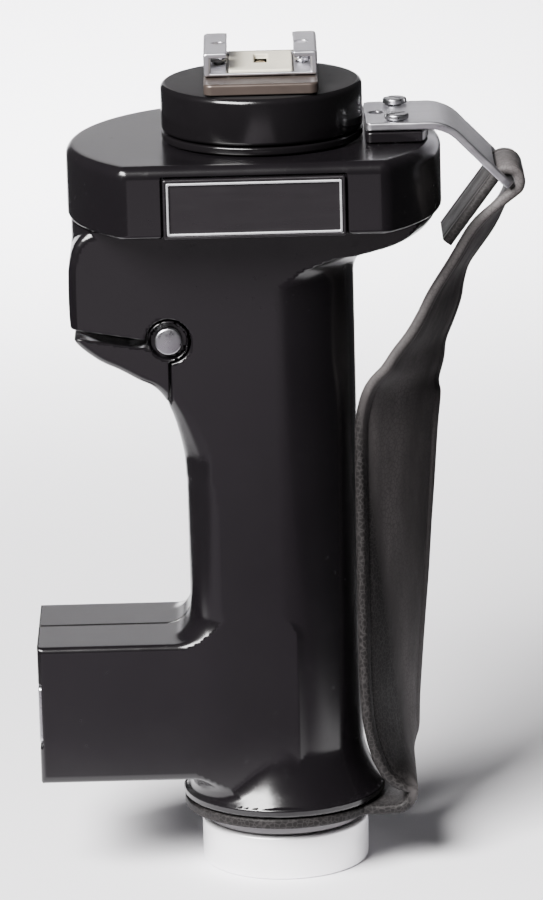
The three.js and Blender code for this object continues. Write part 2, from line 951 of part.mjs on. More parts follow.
// Squeeze trigger with its fork, on a pin held by two lugs of the shells
const forkEndX = plungerX + plungerCollarRadius - overrun;
{
  const deep = gripHalfDepth;
  const wedge = slab(headOutline(), -deep, deep).intersect(
    triggerSpace(-slitWidth / 2 - slitDrop, 0),
  );
  const fork = cut(
    block(
      pinX,
      forkEndX,
      -forkHalfWidth,
      forkHalfWidth,
      pinZ - forkThickness / 2,
      pinZ + forkThickness / 2,
    ),
    block(
      plungerX - plungerRadius - 2 * gap,
      forkEndX + overrun,
      -plungerRadius - gap,
      plungerRadius + gap,
      pinZ - forkThickness,
      pinZ + forkThickness,
    ),
  );
  const slots = [-1, 1].map((side) => {
    const y = side * (lugInset + lugThickness / 2);
    const half = lugThickness / 2 + gap;
    return crosswise(lugRadius + gap, y - half, y + half, pinX, pinZ, middling);
  });
  place(
    "release_trigger",
    cut(
      join(wedge, fork),
      ...slots,
      crosswise(pinRadius + gap, -deep - overrun, deep + overrun, pinX, pinZ),
      crosswise(
        pinHeadRadius + pinHeadRecess,
        -deep - overrun,
        -deep + pinHeadThickness + gap - pinProud,
        pinX,
        pinZ,
      ),
      crosswise(
        pinHeadRadius + pinHeadRecess,
        deep - pinHeadThickness - gap + pinProud,
        deep + overrun,
        pinX,
        pinZ,
      ),
    ),
    blackPlastic(),
  );
  const headIn = pinHeadThickness - pinProud;
  place(
    "trigger_pin",
    join(
      crosswise(pinHeadRadius, -deep - pinProud, -deep + headIn, pinX, pinZ),
      crosswise(pinRadius, -deep, deep - headIn - gap, pinX, pinZ),
    ),
    steel(),
  );
  place(
    "trigger_pin_cap",
    crosswise(pinHeadRadius, deep - headIn, deep + pinProud, pinX, pinZ),
    steel(),
  );
}

// Lock plunger: a rod with a collar under the fork, a pad under the brake disc
const collarTopZ = pinZ - forkThickness / 2 - gap;
const springTopZ = collarTopZ - plungerCollarThickness - gap;
const springBottomZ = springTopZ - springLength;
const guideTopZ = springBottomZ - gap;
const padZ = brakeZ - gap - padThickness;
place(
  "lock_plunger",
  join(
    upright(plungerRadius, guideTopZ - guideThickness - plungerTail, padZ - gap, plungerX, 0),
    upright(plungerCollarRadius, collarTopZ - plungerCollarThickness, collarTopZ, plungerX, 0),
  ),
  steel(),
);
place("brake_pad", upright(padRadius, padZ, padZ + padThickness, plungerX, 0), cork());
place(
  "plunger_guide",
  cut(
    pillar(gripSection(wall + gap), guideTopZ - guideThickness, guideTopZ),
    upright(
      plungerRadius + gap,
      guideTopZ - guideThickness - overrun,
      guideTopZ + overrun,
      plungerX,
      0,
    ),
  ),
  aluminium(),
);

class Coil extends THREE.Curve {
  getPoint(t, target = new THREE.Vector3()) {
    const angle = t * springTurns * 360 * degree;
    const radius = plungerRadius + gap + springWire;
    const rise = springBottomZ + springWire / 2 + t * (springLength - springWire);
    return target.set(
      plungerX + radius * Math.cos(angle),
      radius * Math.sin(angle),
      rise,
    );
  }
}
{
  const section = outlineOf(
    Array.from({ length: springSides }, (_, i) => {
      const angle = (360 * degree * i) / springSides;
      return [(Math.cos(angle) * springWire) / 2, (Math.sin(angle) * springWire) / 2];
    }),
  );
  const shape = new THREE.ExtrudeGeometry(section, {
    steps: springTurns * arcSteps,
    extrudePath: new Coil(),
    bevelEnabled: false,
  });
  place("plunger_spring", solid(shape), steel());
}

// Strap arm: a bent strip on a pad, with a slot and an end bar for the strap
{
  const y0 = -armWidth / 2;
  const y1 = armWidth / 2;
  const half = armSheet / 2;
  const lineAt = (s, side) => {
    const bend = armBendAngle * degree;
    const c = Math.cos(bend);
    const sn = Math.sin(bend);
    return [bendEndX + s * c + side * half * sn, bendEndZ - s * sn + side * half * c];
  };
  const arc = (side) =>
    Array.from({ length: arcSteps + 1 }, (_, i) => {
      const a = ((armBendAngle * i) / arcSteps) * degree;
      const r = armBendRadius + side * half;
      return [armBendX + r * Math.sin(a), armMidZ - armBendRadius + r * Math.cos(a)];
    });
  const endAt = armDropLength + armBarWidth / 2;
  const strip = outlineOf([
    [armX, armMidZ + half],
    ...arc(1),
    lineAt(endAt, 1),
    lineAt(endAt, -1),
    ...arc(-1).reverse(),
    [armX, armMidZ - half],
  ]);
  const slotFrom = armDropLength - armBarWidth / 2 - strapThickness - 4 * gap;
  const slotTo = armDropLength - armBarWidth / 2;
  const slotOutline = outlineOf([
    lineAt(slotFrom, 2),
    lineAt(slotTo, 2),
    lineAt(slotTo, -2),
    lineAt(slotFrom, -2),
  ]);
  place(
    "strap_arm",
    cut(
      slab(strip, y0, y1),
      slab(slotOutline, y0 + armRail, y1 - armRail),
      upright(armHoleRadius, armZ - overrun, armZ + armSheet + overrun, armHoleX, 0),
      ...armScrewPlaces.map(([x, y]) =>
        upright(armScrewRadius + gap, armZ - overrun, armZ + armSheet + overrun, x, y),
      ),
    ),
    aluminium(),
  );
  const padTop = collarZ + armPadThickness;
  place(
    "strap_arm_pad",
    cut(
      block(armX, armBendX, y0, y1, collarZ, padTop).intersect(
        upright(drumRadius - capTopBevel, collarZ - overrun, padTop + overrun, drumX, 0, fine),
      ),
      ...armScrewPlaces.map(([x, y]) =>
        upright(armScrewRadius + gap, collarZ - overrun, padTop + overrun, x, y),
      ),
    ),
    blackPlastic(),
  );
  const headZ = armZ + armSheet + gap;
  ["front", "rear"].forEach((side, i) => {
    const [x, y] = armScrewPlaces[i];
    place(
      "arm_screw_" + side,
      cut(
        join(
          upright(armScrewHead, headZ, headZ + armScrewHeadHeight, x, y),
          upright(armScrewRadius, armScrewEndZ, headZ + gap, x, y),
        ),
        block(
          x - armScrewHead - overrun,
          x + armScrewHead + overrun,
          y - armScrewHeadHeight / 4,
          y + armScrewHeadHeight / 4,
          headZ + armScrewHeadHeight / 2,
          headZ + armScrewHeadHeight + overrun,
        ),
      ),
      steel(),
    );
  });
}

// A flat band through a list of stations, each with its middle, its direction across and its width
function band(stations, thickness) {
  const rings = stations.map(({ middle, across, width }, i) => {
    const before = stations[Math.max(i - 1, 0)].middle;
    const after = stations[Math.min(i + 1, stations.length - 1)].middle;
    const along = after.clone().sub(before).normalize();
    const inward = along.clone().cross(across).normalize();
    const side = inward.clone().cross(along).normalize();
    return [
      [1, 1],
      [1, -1],
      [-1, -1],
      [-1, 1],
    ].map(([a, b]) =>
      middle
        .clone()
        .addScaledVector(side, (a * width) / 2)
        .addScaledVector(inward, (b * thickness) / 2),
    );
  });
  const triangles = [];
  const at = (ring, corner) => ring * 4 + (corner % 4);
  for (let i = 0; i + 1 < rings.length; i++) {
    for (let k = 0; k < 4; k++) {
      triangles.push(at(i, k), at(i + 1, k), at(i, k + 1));
      triangles.push(at(i, k + 1), at(i + 1, k), at(i + 1, k + 1));
    }
  }
  const last = rings.length - 1;
  triangles.push(at(0, 0), at(0, 1), at(0, 2), at(0, 0), at(0, 2), at(0, 3));
  triangles.push(at(last, 0), at(last, 2), at(last, 1), at(last, 0), at(last, 3), at(last, 2));
  return new wasm.Manifold(
    new wasm.Mesh({
      numProp: 3,
      vertProperties: new Float32Array(rings.flat().flatMap((p) => p.toArray())),
      triVerts: new Uint32Array(triangles),
    }),
  );
}

// Hand strap: a washer under the foot, a twisted run up the right, and a loop over the arm's bar
{
  const flat = (x, z, width) => ({
    middle: new THREE.Vector3(x, 0, z),
    across: new THREE.Vector3(0, 1, 0),
    width,
  });
  const midZ = strapZ + strapThickness / 2;
  const loopRadius = Math.hypot(armBarWidth, armSheet) / 2 + gap + strapThickness / 2;
  const leanX = Math.cos(Math.atan(strapLeanShare));
  const leanZ = Math.sin(Math.atan(strapLeanShare));
  const bendX = footRadius + strapFootClearance;
  const stations = [
    flat(strapWasherRadius / 2, midZ, strapWidth),
    flat(bendX - strapBendRadius, midZ, strapWidth),
  ];
  for (let i = 1; i <= arcSteps / 2; i++) {
    const a = ((180 * i) / arcSteps) * degree;
    const x = bendX - strapBendRadius + strapBendRadius * Math.sin(a);
    stations.push(flat(x, midZ + strapBendRadius - strapBendRadius * Math.cos(a), strapWidth));
  }
  const rise = barZ - midZ;
  const bendTop = new THREE.Vector3(bendX, 0, midZ + strapBendRadius);
  const outward = barX - gripRight;
  const widthAt = (share) => strapEndWidth + share * (strapWidth - strapEndWidth);
  const runPoints = strapRunShares.map(
    ([up, near, far]) =>
      new THREE.Vector3(gripRight + ((near + far) / 2) * outward, 0, midZ + up * rise),
  );
  const tangentPoint = new THREE.Vector3(barX + loopRadius * leanX, 0, barZ - loopRadius * leanZ);
  const run = new THREE.CatmullRomCurve3([bendTop, ...runPoints, tangentPoint]);
  const twists = new THREE.CatmullRomCurve3(
    [
      [0, 1],
      ...strapRunShares.map(([, near, far, share]) => [
        Math.asin(((far - near) * outward) / widthAt(share)),
        share,
      ]),
      [0, 0],
    ].map(([angle, share]) => new THREE.Vector3(angle, share, 0)),
  );
  const steps = 6 * arcSteps;
  for (let i = 1; i <= steps; i++) {
    const twist = twists.getPoint(i / steps);
    stations.push({
      middle: run.getPoint(i / steps),
      across: new THREE.Vector3(Math.sin(twist.x), Math.cos(twist.x), 0),
      width: widthAt(twist.y),
    });
  }
  const loop = (a) =>
    flat(barX + loopRadius * Math.cos(a), barZ + loopRadius * Math.sin(a), strapEndWidth);
  const lean = -Math.atan(strapLeanShare);
  const halfTurn = 180 * degree;
  for (let i = 1; i <= 2 * arcSteps; i++) stations.push(loop(lean + (i * halfTurn) / (2 * arcSteps)));
  const loopEnd = loop(lean + halfTurn).middle;
  const back = [
    loop(lean + halfTurn - (2 * halfTurn) / arcSteps),
    loop(lean + halfTurn),
    flat(
      loopEnd.x - strapReturnLength * leanZ,
      loopEnd.z - strapReturnLength * leanX,
      strapEndWidth,
    ),
  ];
  const strap = join(
    band(stations, strapThickness),
    band(back, strapThickness),
    upright(strapWasherRadius, strapZ, strapZ + strapThickness, 0, 0, middling),
  );
  const studHole = upright(
    studRadius + gap,
    strapZ - overrun,
    strapZ + strapThickness + overrun,
    0,
    0,
  );
  place("hand_strap", cut(strap, studHole), leather());
}

// Base knob and its stud, and the brass bush that the stud screws into
place(
  "base_knob",
  cut(
    turned(
      [
        [0, 0],
        [knobRadius - knobBevel, 0],
        [knobRadius, knobBevel],
        [knobRadius, knobHeight - knobBevel],
        [knobRadius - knobBevel, knobHeight],
        [knobRadius - knobRingInset - knobBevel, knobHeight],
        [knobRadius - knobRingInset, knobHeight + knobBevel],
        [knobRadius - knobRingInset, knobTopZ - knobBevel / 2],
        [knobRadius - knobRingInset - knobBevel / 2, knobTopZ],
        [0, knobTopZ],
      ],
      0,
      0,
      fine,
    ),
    upright(studRadius + gap, knobTopZ - studSink, knobTopZ + overrun, 0, 0),
  ),
  aluminium(),
);
place("base_stud", upright(studRadius, knobTopZ - studSink + gap, footZ + studGrip, 0, 0), steel());
place(
  "foot_bush",
  cut(
    join(
      upright(bushRadius, footZ + gap, footZ + studGrip, 0, 0),
      upright(
        bushRadius + bushFlange,
        footZ + wall + gap,
        footZ + wall + gap + bushFlangeThickness,
        0,
        0,
      ),
    ),
    upright(studRadius + gap, footZ - overrun, footZ + studGrip + overrun, 0, 0),
  ),
  brass(),
);

// Sheet-metal liner of the bracket socket, and the leaf that presses on the bracket
{
  const mouth = -boxReach;
  const inner = mouth + socketDepth;
  const flangeY = linerHalfWidth + socketFlange;
  const flangeZ = linerHalfHeight + socketFlange;
  place(
    "socket_liner",
    cut(
      join(
        block(
          mouth,
          inner + socketSheet,
          -linerHalfWidth,
          linerHalfWidth,
          socketZ - linerHalfHeight,
          socketZ + linerHalfHeight,
        ),
        block(
          mouth,
          mouth + socketFlangeThickness,
          -flangeY,
          flangeY,
          socketZ - flangeZ,
          socketZ + flangeZ,
        ),
      ),
      block(
        mouth - overrun,
        inner,
        -socketWidth / 2,
        socketWidth / 2,
        socketZ - socketHeight / 2,
        socketZ + socketHeight / 2,
      ),
    ),
    steel(),
  );
  const leafTop = socketZ + socketHeight / 2 - gap;
  const leafLength = leafLengthShare * socketDepth;
  const leafX = inner - gap;
  place(
    "socket_leaf",
    block(
      leafX - leafLength,
      leafX,
      -leafWidth / 2,
      leafWidth / 2,
      leafTop - leafThickness,
      leafTop,
    ),
    steel(),
  );
}

// Screws of the shells and of the cap
shellScrews.forEach(([x, z], i) => {
  const headY = gripHalfDepth - screwHeadHeight - pinProud;
  place(
    "shell_screw_" + (i + 1),
    join(
      crosswise(screwHeadRadius, headY, headY + screwHeadHeight, x, z),
      crosswise(screwRadius, -gripHalfDepth + 2 * wall, headY + gap, x, z),
    ),
    steel(),
  );
});
capScrews.forEach(([x, y], i) => {
  const headZ = shellTopZ - capScrewSeat - gap - screwHeadHeight;
  place(
    "cap_screw_" + (i + 1),
    join(
      upright(screwHeadRadius, headZ, headZ + screwHeadHeight, x, y),
      upright(
        screwRadius,
        headZ + gap,
        capZ + capScrewGrip - capScrewSeat - gap,
        x,
        y,
      ),
    ),
    steel(),
  );
});

export default group;
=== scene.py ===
import itertools
import json
import math

import bmesh
import bpy
import numpy as np
from mathutils import Matrix, Vector


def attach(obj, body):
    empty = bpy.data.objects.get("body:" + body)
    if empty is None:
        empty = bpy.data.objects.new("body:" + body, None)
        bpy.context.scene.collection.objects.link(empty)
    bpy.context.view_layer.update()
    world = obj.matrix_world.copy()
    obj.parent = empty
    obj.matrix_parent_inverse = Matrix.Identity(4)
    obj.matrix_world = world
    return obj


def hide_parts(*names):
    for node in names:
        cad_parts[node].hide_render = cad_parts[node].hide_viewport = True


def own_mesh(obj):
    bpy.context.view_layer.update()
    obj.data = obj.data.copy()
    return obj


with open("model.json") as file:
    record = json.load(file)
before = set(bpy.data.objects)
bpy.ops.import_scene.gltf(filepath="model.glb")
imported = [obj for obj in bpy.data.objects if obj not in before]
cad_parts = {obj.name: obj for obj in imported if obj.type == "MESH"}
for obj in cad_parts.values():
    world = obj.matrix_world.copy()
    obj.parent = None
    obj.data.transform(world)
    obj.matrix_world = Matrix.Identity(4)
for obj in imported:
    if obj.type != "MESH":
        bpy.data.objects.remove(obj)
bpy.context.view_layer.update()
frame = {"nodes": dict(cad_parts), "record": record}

MM = 0.001

# Camera at the photograph's angle
CAMERA_AIM = Vector((-0.89, 0.0, 82.11)) * MM
CAMERA_DISTANCE = 1.2
CAMERA_ELEVATION = math.radians(14.96)
CAMERA_ROLL = math.radians(1.49)
CAMERA_LENS = 248.6


def make_camera():
    data = bpy.data.cameras.new("Camera")
    camera = bpy.data.objects.new("Camera", data)
    bpy.context.scene.collection.objects.link(camera)
    data.sensor_fit = "VERTICAL"
    data.sensor_height = 36.0
    data.lens = CAMERA_LENS
    data.clip_start = 0.05
    data.clip_end = 20.0
    ahead_painted_shade = Vector((0.0, math.cos(CAMERA_ELEVATION), -math.sin(CAMERA_ELEVATION)))
    right = Vector((1.0, 0.0, 0.0))
    up = right.cross(ahead_painted_shade)
    turned_right = right * math.cos(CAMERA_ROLL) - up * math.sin(CAMERA_ROLL)
    turned_up = up * math.cos(CAMERA_ROLL) + right * math.sin(CAMERA_ROLL)
    rotation = Matrix((turned_right, turned_up, -ahead_painted_shade)).transposed().to_4x4()
    camera.matrix_world = Matrix.Translation(CAMERA_AIM - ahead_painted_shade * CAMERA_DISTANCE) @ rotation
    bpy.context.scene.camera = camera


make_camera()

# Sizes in millimetres, the same as in the CAD source
GAP = 0.3
WALL = 2.4
KNOB_R, KNOB_H, KNOB_TOP = 16.2, 8.7, 11.1
STRAP_Z, STRAP_T = 11.4, 2.0
FOOT_Z, FOOT_RIM, FOOT_R, FLARE_H = 13.7, 1.8, 19.7, 12.5
FOOT_TOP = FOOT_Z + FOOT_RIM
LEFT, RIGHT, DEEP, CORNER = 17.2, 15.7, 15.5, 6.0
ROUND_X = RIGHT - DEEP
CAP_Z, CAP_H = 130.2, 13.8
SHELL_TOP = CAP_Z - GAP
DRUM_TOP = CAP_Z + CAP_H
DRUM_X, DRUM_R, DRUM_FLAT = -2.9, 35.7, 25.5
HEAD_LEFT = DRUM_X - DRUM_R
BOX_REACH, BOX_Z, BOX_TOP, BOX_FILLET = 47.0, 20.5, 47.9, 5.0
SOCKET_Z = (BOX_Z + BOX_TOP) / 2
PIN_X, PIN_Z, PIN_R, PIN_HEAD_R, PIN_HOLE_R, PIN_SINK_R = -19.9, 108.0, 1.6, 2.6, 1.9, 3.5
HUB_R = 4.0
FORK_Y = 5.0
FOOT_BORE_R, FOOT_BORE_TOP = 6.3, 17.2
SLIT_ANGLE, SLIT_DROP, SLIT_W = math.radians(9.7), 1.2, 1.5
SLANT_DEPTH, SLANT_SIDE, SLANT_TOP = 4.5, 0.28, 0.34
TIP_Z, UNDER_H = 108.4, 28.0
# Underside of the head: shares of the way in to the column and of UNDER_H down
UNDER = [(0.257, 0.146), (0.435, 0.214), (0.607, 0.289), (0.73, 0.34), (0.82, 0.42), (0.89, 0.54),
         (0.94, 0.68), (0.98, 0.84), (1.0, 1.0)]
# Lower left corner of the head: inset and height
HEAD_CORNER = [(0.0, 115.0), (0.1, 112.0), (0.5, 109.4), (1.7, 107.3)]
SHOULDER_W, SHOULDER_H = 6.0, 10.7
# Corners of the column's left side: they grow by this much towards the foot
ROUNDER_BELOW, ROUNDER_OVER, ROUNDER_BY = 60.0, 34.0, 4.5
# Flare of the foot: shares of its height and of its width
FLARE = [(0, 1), (0.08, 0.83), (0.2, 0.6), (0.36, 0.36), (0.52, 0.17), (0.68, 0.06), (0.84, 0.0), (1, -0.03)]
BOWL_FLOOR_Z, BOWL_FLOOR_R, BOWL_R, BOWL_DEPTH = SHELL_TOP - 6.4, 23.8, 34.8, 6.4
BOWL_FILLET = 6.0
# Bowl under the cap: shares of its width and of its depth
BOWL = [(0, 0), (0.52, 0.28), (0.78, 0.52), (0.92, 0.76), (1, 1)]
TURRET_X, TURRET_R = -1.1, 19.2
COLLAR_Z, DISC_Z, DISC_TOP = 144.3, 146.1, 155.1
BASE_Z, SHOE_Z = 155.4, 157.8
ARM_X, ARM_Z, ARM_T, ARM_BEND_X, ARM_BEND_R = 18.4, 146.6, 1.5, 30.4, 8.0
ARM_BEND, ARM_DROP, ARM_BAR, ARM_W, ARM_RAIL = math.radians(46), 13.0, 1.7, 20.5, 1.75
ARM_SCREW_X, ARM_SCREW_Y, ARM_PAD_TOP = 24.4, 7.3, 146.3
SHOE_SCREW_X, SHOE_HOLE_R, SPINDLE_BORE_R, KNOB_BORE_R = 7.925, 1.2, 3.8, 3.4


# Node materials
class Nodes:
    def __init__(self, name):
        self.material = bpy.data.materials.new(name)
        self.material.use_nodes = True
        self.tree = self.material.node_tree
        self.shader = self.tree.nodes["Principled BSDF"]

    def add(self, kind, **values):
        node = self.tree.nodes.new(kind)
        for key, value in values.items():
            setattr(node, key, value)
        return node

    def link(self, a, b):
        self.tree.links.new(a, b)

    def position(self, stretch=None):
        source = self.add("ShaderNodeTexCoord").outputs["Object"]
        if stretch is None:
            return source
        mapping = self.add("ShaderNodeMapping")
        mapping.inputs["Scale"].default_value = stretch
        self.link(source, mapping.inputs["Vector"])
        return mapping.outputs["Vector"]

    def axes(self):
        split = self.add("ShaderNodeSeparateXYZ")
        self.link(self.position(), split.inputs["Vector"])
        return split.outputs

    def noise(self, scale, detail=4.0, rough=0.5, stretch=None):
        node = self.add("ShaderNodeTexNoise")
        node.inputs["Scale"].default_value = scale
        node.inputs["Detail"].default_value = detail
        node.inputs["Roughness"].default_value = rough
        self.link(self.position(stretch), node.inputs["Vector"])
        return node.outputs["Fac"]

    def cells(self, scale):
        node = self.add("ShaderNodeTexVoronoi", feature="DISTANCE_TO_EDGE")
        node.inputs["Scale"].default_value = scale
        self.link(self.position(), node.inputs["Vector"])
        return node.outputs["Distance"]

    def ramp(self, source, low, high, start, end):
        node = self.add("ShaderNodeMapRange")
        for key, value in (("From Min", low), ("From Max", high), ("To Min", start), ("To Max", end)):
            node.inputs[key].default_value = value
        self.link(source, node.inputs["Value"])
        return node.outputs["Result"]

    def colours(self, source, stops):
        node = self.add("ShaderNodeValToRGB")
        ramp = node.color_ramp
        while len(ramp.elements) < len(stops):
            ramp.elements.new(0.5)
        for element, (place, colour) in zip(ramp.elements, stops):
            element.position = place
            element.color = (*colour, 1.0)
        self.link(source, node.inputs["Fac"])
        return node.outputs["Color"]

    def mix(self, share, first, second):
        node = self.add("ShaderNodeMix", data_type="RGBA")
        self.link(share, node.inputs[0])
        for socket, value in ((6, first), (7, second)):
            if isinstance(value, tuple):
                node.inputs[socket].default_value = (*value, 1.0)
            else:
                self.link(value, node.inputs[socket])
        return node.outputs[2]

    def bump(self, height, strength, distance, after=None):
        node = self.add("ShaderNodeBump")
        node.inputs["Strength"].default_value = strength
        node.inputs["Distance"].default_value = distance
        self.link(height, node.inputs["Height"])
        if after is not None:
            self.link(after, node.inputs["Normal"])
        return node.outputs["Normal"]

    def math(self, operation, a, b=None):
        node = self.add("ShaderNodeMath", operation=operation)
        for slot, value in enumerate((a, b)):
            if isinstance(value, (int, float)):
                node.inputs[slot].default_value = value
            elif value is not None:
                self.link(value, node.inputs[slot])
        return node.outputs["Value"]

    def into(self, **sources):
        for key, source in sources.items():
            self.link(source, self.shader.inputs[key.replace("_", " ")])

    def set(self, **values):
        for key, value in values.items():
            self.shader.inputs[key.replace("_", " ")].default_value = value
        return self.material


def shade(colour, factor):
    return tuple(c * factor for c in colour)


# Moulded plastic with fine dust, and matt above a height where one is given
def black_plastic(name, roughness=0.2, colour=(0.0045, 0.0038, 0.0046), grain=0.12, matt_above=None):
    n = Nodes(name)
    cloud = n.noise(42.0, 5.0, 0.6)
    dust = n.ramp(n.noise(520.0, 3.0, 0.7), 0.6, 0.78, 0.0, 0.1)
    base = n.colours(cloud, [(0.3, shade(colour, 0.88)), (0.7, shade(colour, 1.15))])
    rougher = dust
    if matt_above is not None:
        top = (matt_above - 0.02) * MM
        rougher = n.math("ADD", dust, n.ramp(n.axes()["Z"], top - 0.0001, top, 0.0, 0.4))
    n.into(Base_Color=n.mix(dust, base, shade(colour, 2.2)),
           Roughness=n.math("ADD", n.ramp(cloud, 0.3, 0.7, roughness - 0.03, roughness + 0.04), rougher),
           Normal=n.bump(n.noise(1400.0, 3.0), grain, 0.00001, n.bump(n.noise(75.0, 2.0), 0.10, 0.00008)))
    return n.set(IOR=1.5)


def metal(name, colour, roughness, brushed=(1.0, 1.0, 1.0), wear=0.07, scratch=0.15, metallic=1.0):
    n = Nodes(name)
    fine = n.noise(900.0, 5.0, 0.65, brushed)
    cloud = n.noise(60.0, 5.0, 0.6)
    dark = shade(colour, 1.0 - 3.0 * wear)
    light = tuple(min(1.0, c) for c in shade(colour, 1.0 + wear))
    n.into(Base_Color=n.colours(cloud, [(0.25, dark), (0.5, colour), (0.75, light)]),
           Roughness=n.ramp(fine, 0.25, 0.75, roughness - 0.07, roughness + 0.12),
           Normal=n.bump(fine, scratch, 0.00002))
    return n.set(Metallic=metallic)


# Worn leather, with painted shade along its edge beside the column, for the column's shadow, and painted
# shade on its tail
def leather(name, colour=(0.07, 0.064, 0.064)):
    n = Nodes(name)
    pores = n.cells(1100.0)
    creases = n.noise(240.0, 6.0, 0.7, (1.0, 1.0, 0.35))
    wear = n.noise(48.0, 5.0, 0.65, (1.0, 1.0, 0.3))
    deep = shade(colour, 0.55)
    base = n.colours(wear, [(0.32, deep), (0.5, colour), (0.72, shade(colour, 1.75))])
    place = n.axes()
    # Painted shade: the strap's edge beside the column is darkened, standing for the column's shadow on it
    from_column = n.math("ADD", place["X"], n.math("MULTIPLY", place["Z"], 0.11))
    column_shadow_share = n.ramp(from_column, 0.0256, 0.0285, 1.0, 0.0)
    base = n.mix(column_shadow_share, base, shade(colour, 0.12))
    # Painted shade: the tail past the arm's bar is darkened as well
    across = n.math("SUBTRACT", n.math("MULTIPLY", place["X"], 0.8), n.math("MULTIPLY", place["Z"], 0.6))
    tail_shade_share = n.math("MINIMUM", n.ramp(across, -0.0458, -0.0446, 1.0, 0.0),
                  n.ramp(place["Z"], 0.1365, 0.138, 1.0, 0.0))
    base = n.mix(tail_shade_share, base, shade(colour, 0.25))
    n.into(Base_Color=n.mix(n.ramp(pores, 0.0, 0.12, 0.65, 0.0), base, deep),
           Roughness=n.ramp(creases, 0.3, 0.7, 0.42, 0.66),
           Normal=n.bump(pores, 0.12, 0.00008, n.bump(creases, 0.4, 0.00018)))
    return n.set(Specular_IOR_Level=0.13)


def matt(name, colour, roughness=0.5, grain=0.15):
    n = Nodes(name)
    cloud = n.noise(300.0, 5.0, 0.6)
    n.into(Base_Color=n.colours(cloud, [(0.3, shade(colour, 0.86)), (0.7, colour)]),
           Roughness=n.ramp(cloud, 0.3, 0.7, roughness - 0.06, roughness + 0.08),
           Normal=n.bump(n.noise(1500.0, 4.0), grain, 0.00003))
    return n.material


LOOKS = {
    "black_plastic": black_plastic("black_plastic_moulded"),
    "turret_plastic": black_plastic("black_plastic_turned", 0.16, (0.004, 0.0035, 0.004), 0.08, DISC_TOP),
    "aluminium": metal("aluminium_satin", (0.70, 0.69, 0.73), 0.33, (0.15, 1.0, 1.0)),
    "knob": metal("aluminium_turned", (0.97, 0.96, 0.98), 0.42, (0.2, 0.2, 1.0), 0.02, 0.12, 0.55),
    # Painted shade: the knob's step is a dark copy of the knob's aluminium, standing for the foot rim's
    # shadow on it
    "knob_step_painted_shade": metal("aluminium_shaded", (0.13, 0.125, 0.13), 0.4, (0.2, 0.2, 1.0), 0.04),
    "plate": metal("plate_grey", (0.012, 0.0105, 0.012), 0.3, (0.1, 1.0, 1.0), 0.05, 0.1, 0.2),
    "plate_line": metal("plate_bright", (0.62, 0.62, 0.64), 0.4, (0.1, 1.0, 1.0), 0.05, 0.1, 0.7),
    "steel": metal("steel_turned", (0.46, 0.46, 0.48), 0.28),
    "dark_metal": metal("dark_metal", (0.075, 0.058, 0.05), 0.34, (0.2, 1.0, 1.0), 0.12, 0.2, 0.55),
    "brass": metal("brass_turned", (0.50, 0.35, 0.13), 0.3),
    "insulator": matt("ivory_moulded", (0.62, 0.58, 0.47), 0.42),
    "friction_pad": matt("pad_fibre", (0.16, 0.11, 0.07), 0.85, 0.6),
    "strap_leather": leather("leather_black"),
}
for part in frame["record"]["subparts"]:
    node = frame["nodes"].get(part["node"])
    if node is not None:
        node.data.materials.clear()
        node.data.materials.append(LOOKS[part["material_slot"]])


# Distance forms in millimetres: below zero inside, above zero outside
def blend_in(a, b, r):
    return np.maximum(r, np.minimum(a, b)) - np.hypot(np.maximum(r - a, 0.0), np.maximum(r - b, 0.0))


def round_off(a, b, r):
    return np.minimum(-r, np.maximum(a, b)) + np.hypot(np.maximum(r + a, 0.0), np.maximum(r + b, 0.0))


def flat_outline(points):
    edges = list(zip(points, points[1:] + points[:1]))

    def distance(u, v):
        best, inside = np.float32(1e9), False
        for (ax, ay), (bx, by) in edges:
            ex, ey = bx - ax, by - ay
            if ex == 0 and ey == 0:
                continue
            wx, wy = u - ax, v - ay
            t = np.clip((wx * ex + wy * ey) / (ex * ex + ey * ey), 0.0, 1.0)
            best = np.minimum(best, (wx - t * ex) ** 2 + (wy - t * ey) ** 2)
            spans = (v >= ay) != (v >= by)
            inside = inside ^ (spans & ((ex * wy - ey * wx > 0) == (by > ay)))
        return np.where(inside, -1.0, 1.0) * np.sqrt(best)

    return distance


def box_form(x, y, z, low, high):
    q = [np.abs(a - (l + h) / 2) - (h - l) / 2 for a, l, h in zip((x, y, z), low, high)]
    outside = np.sqrt(sum(np.maximum(a, 0.0) ** 2 for a in q))
    return outside + np.minimum(np.maximum(np.maximum(q[0], q[1]), q[2]), 0.0)


def between(a, b, c, d, t):
    return 0.5 * (2 * b + (c - a) * t + (2 * a - 5 * b + 4 * c - d) * t * t
                  + (3 * b - a - 3 * c + d) * t ** 3)


# Smooth curve through all the points
def spline(points, steps):
    out = []
    ends = [points[0]] + list(points) + [points[-1]]
    for four in zip(ends, ends[1:], ends[2:], ends[3:]):
        out += [tuple(between(*values, i / steps) for values in zip(*four)) for i in range(steps)]
    return out + [tuple(points[-1])]


def column_form(x, y, z):
    low = np.clip((ROUNDER_BELOW - z) / ROUNDER_OVER, 0.0, 1.0)
    corner = CORNER + ROUNDER_BY * low * low * (3.0 - 2.0 * low)
    qx, qy = corner - LEFT - x, np.abs(y) - (DEEP - corner)
    left = np.hypot(np.maximum(qx, 0), np.maximum(qy, 0)) + np.minimum(np.maximum(qx, qy), 0) - corner
    return np.where(x > ROUND_X, np.hypot(x - ROUND_X, y) - DEEP, left)


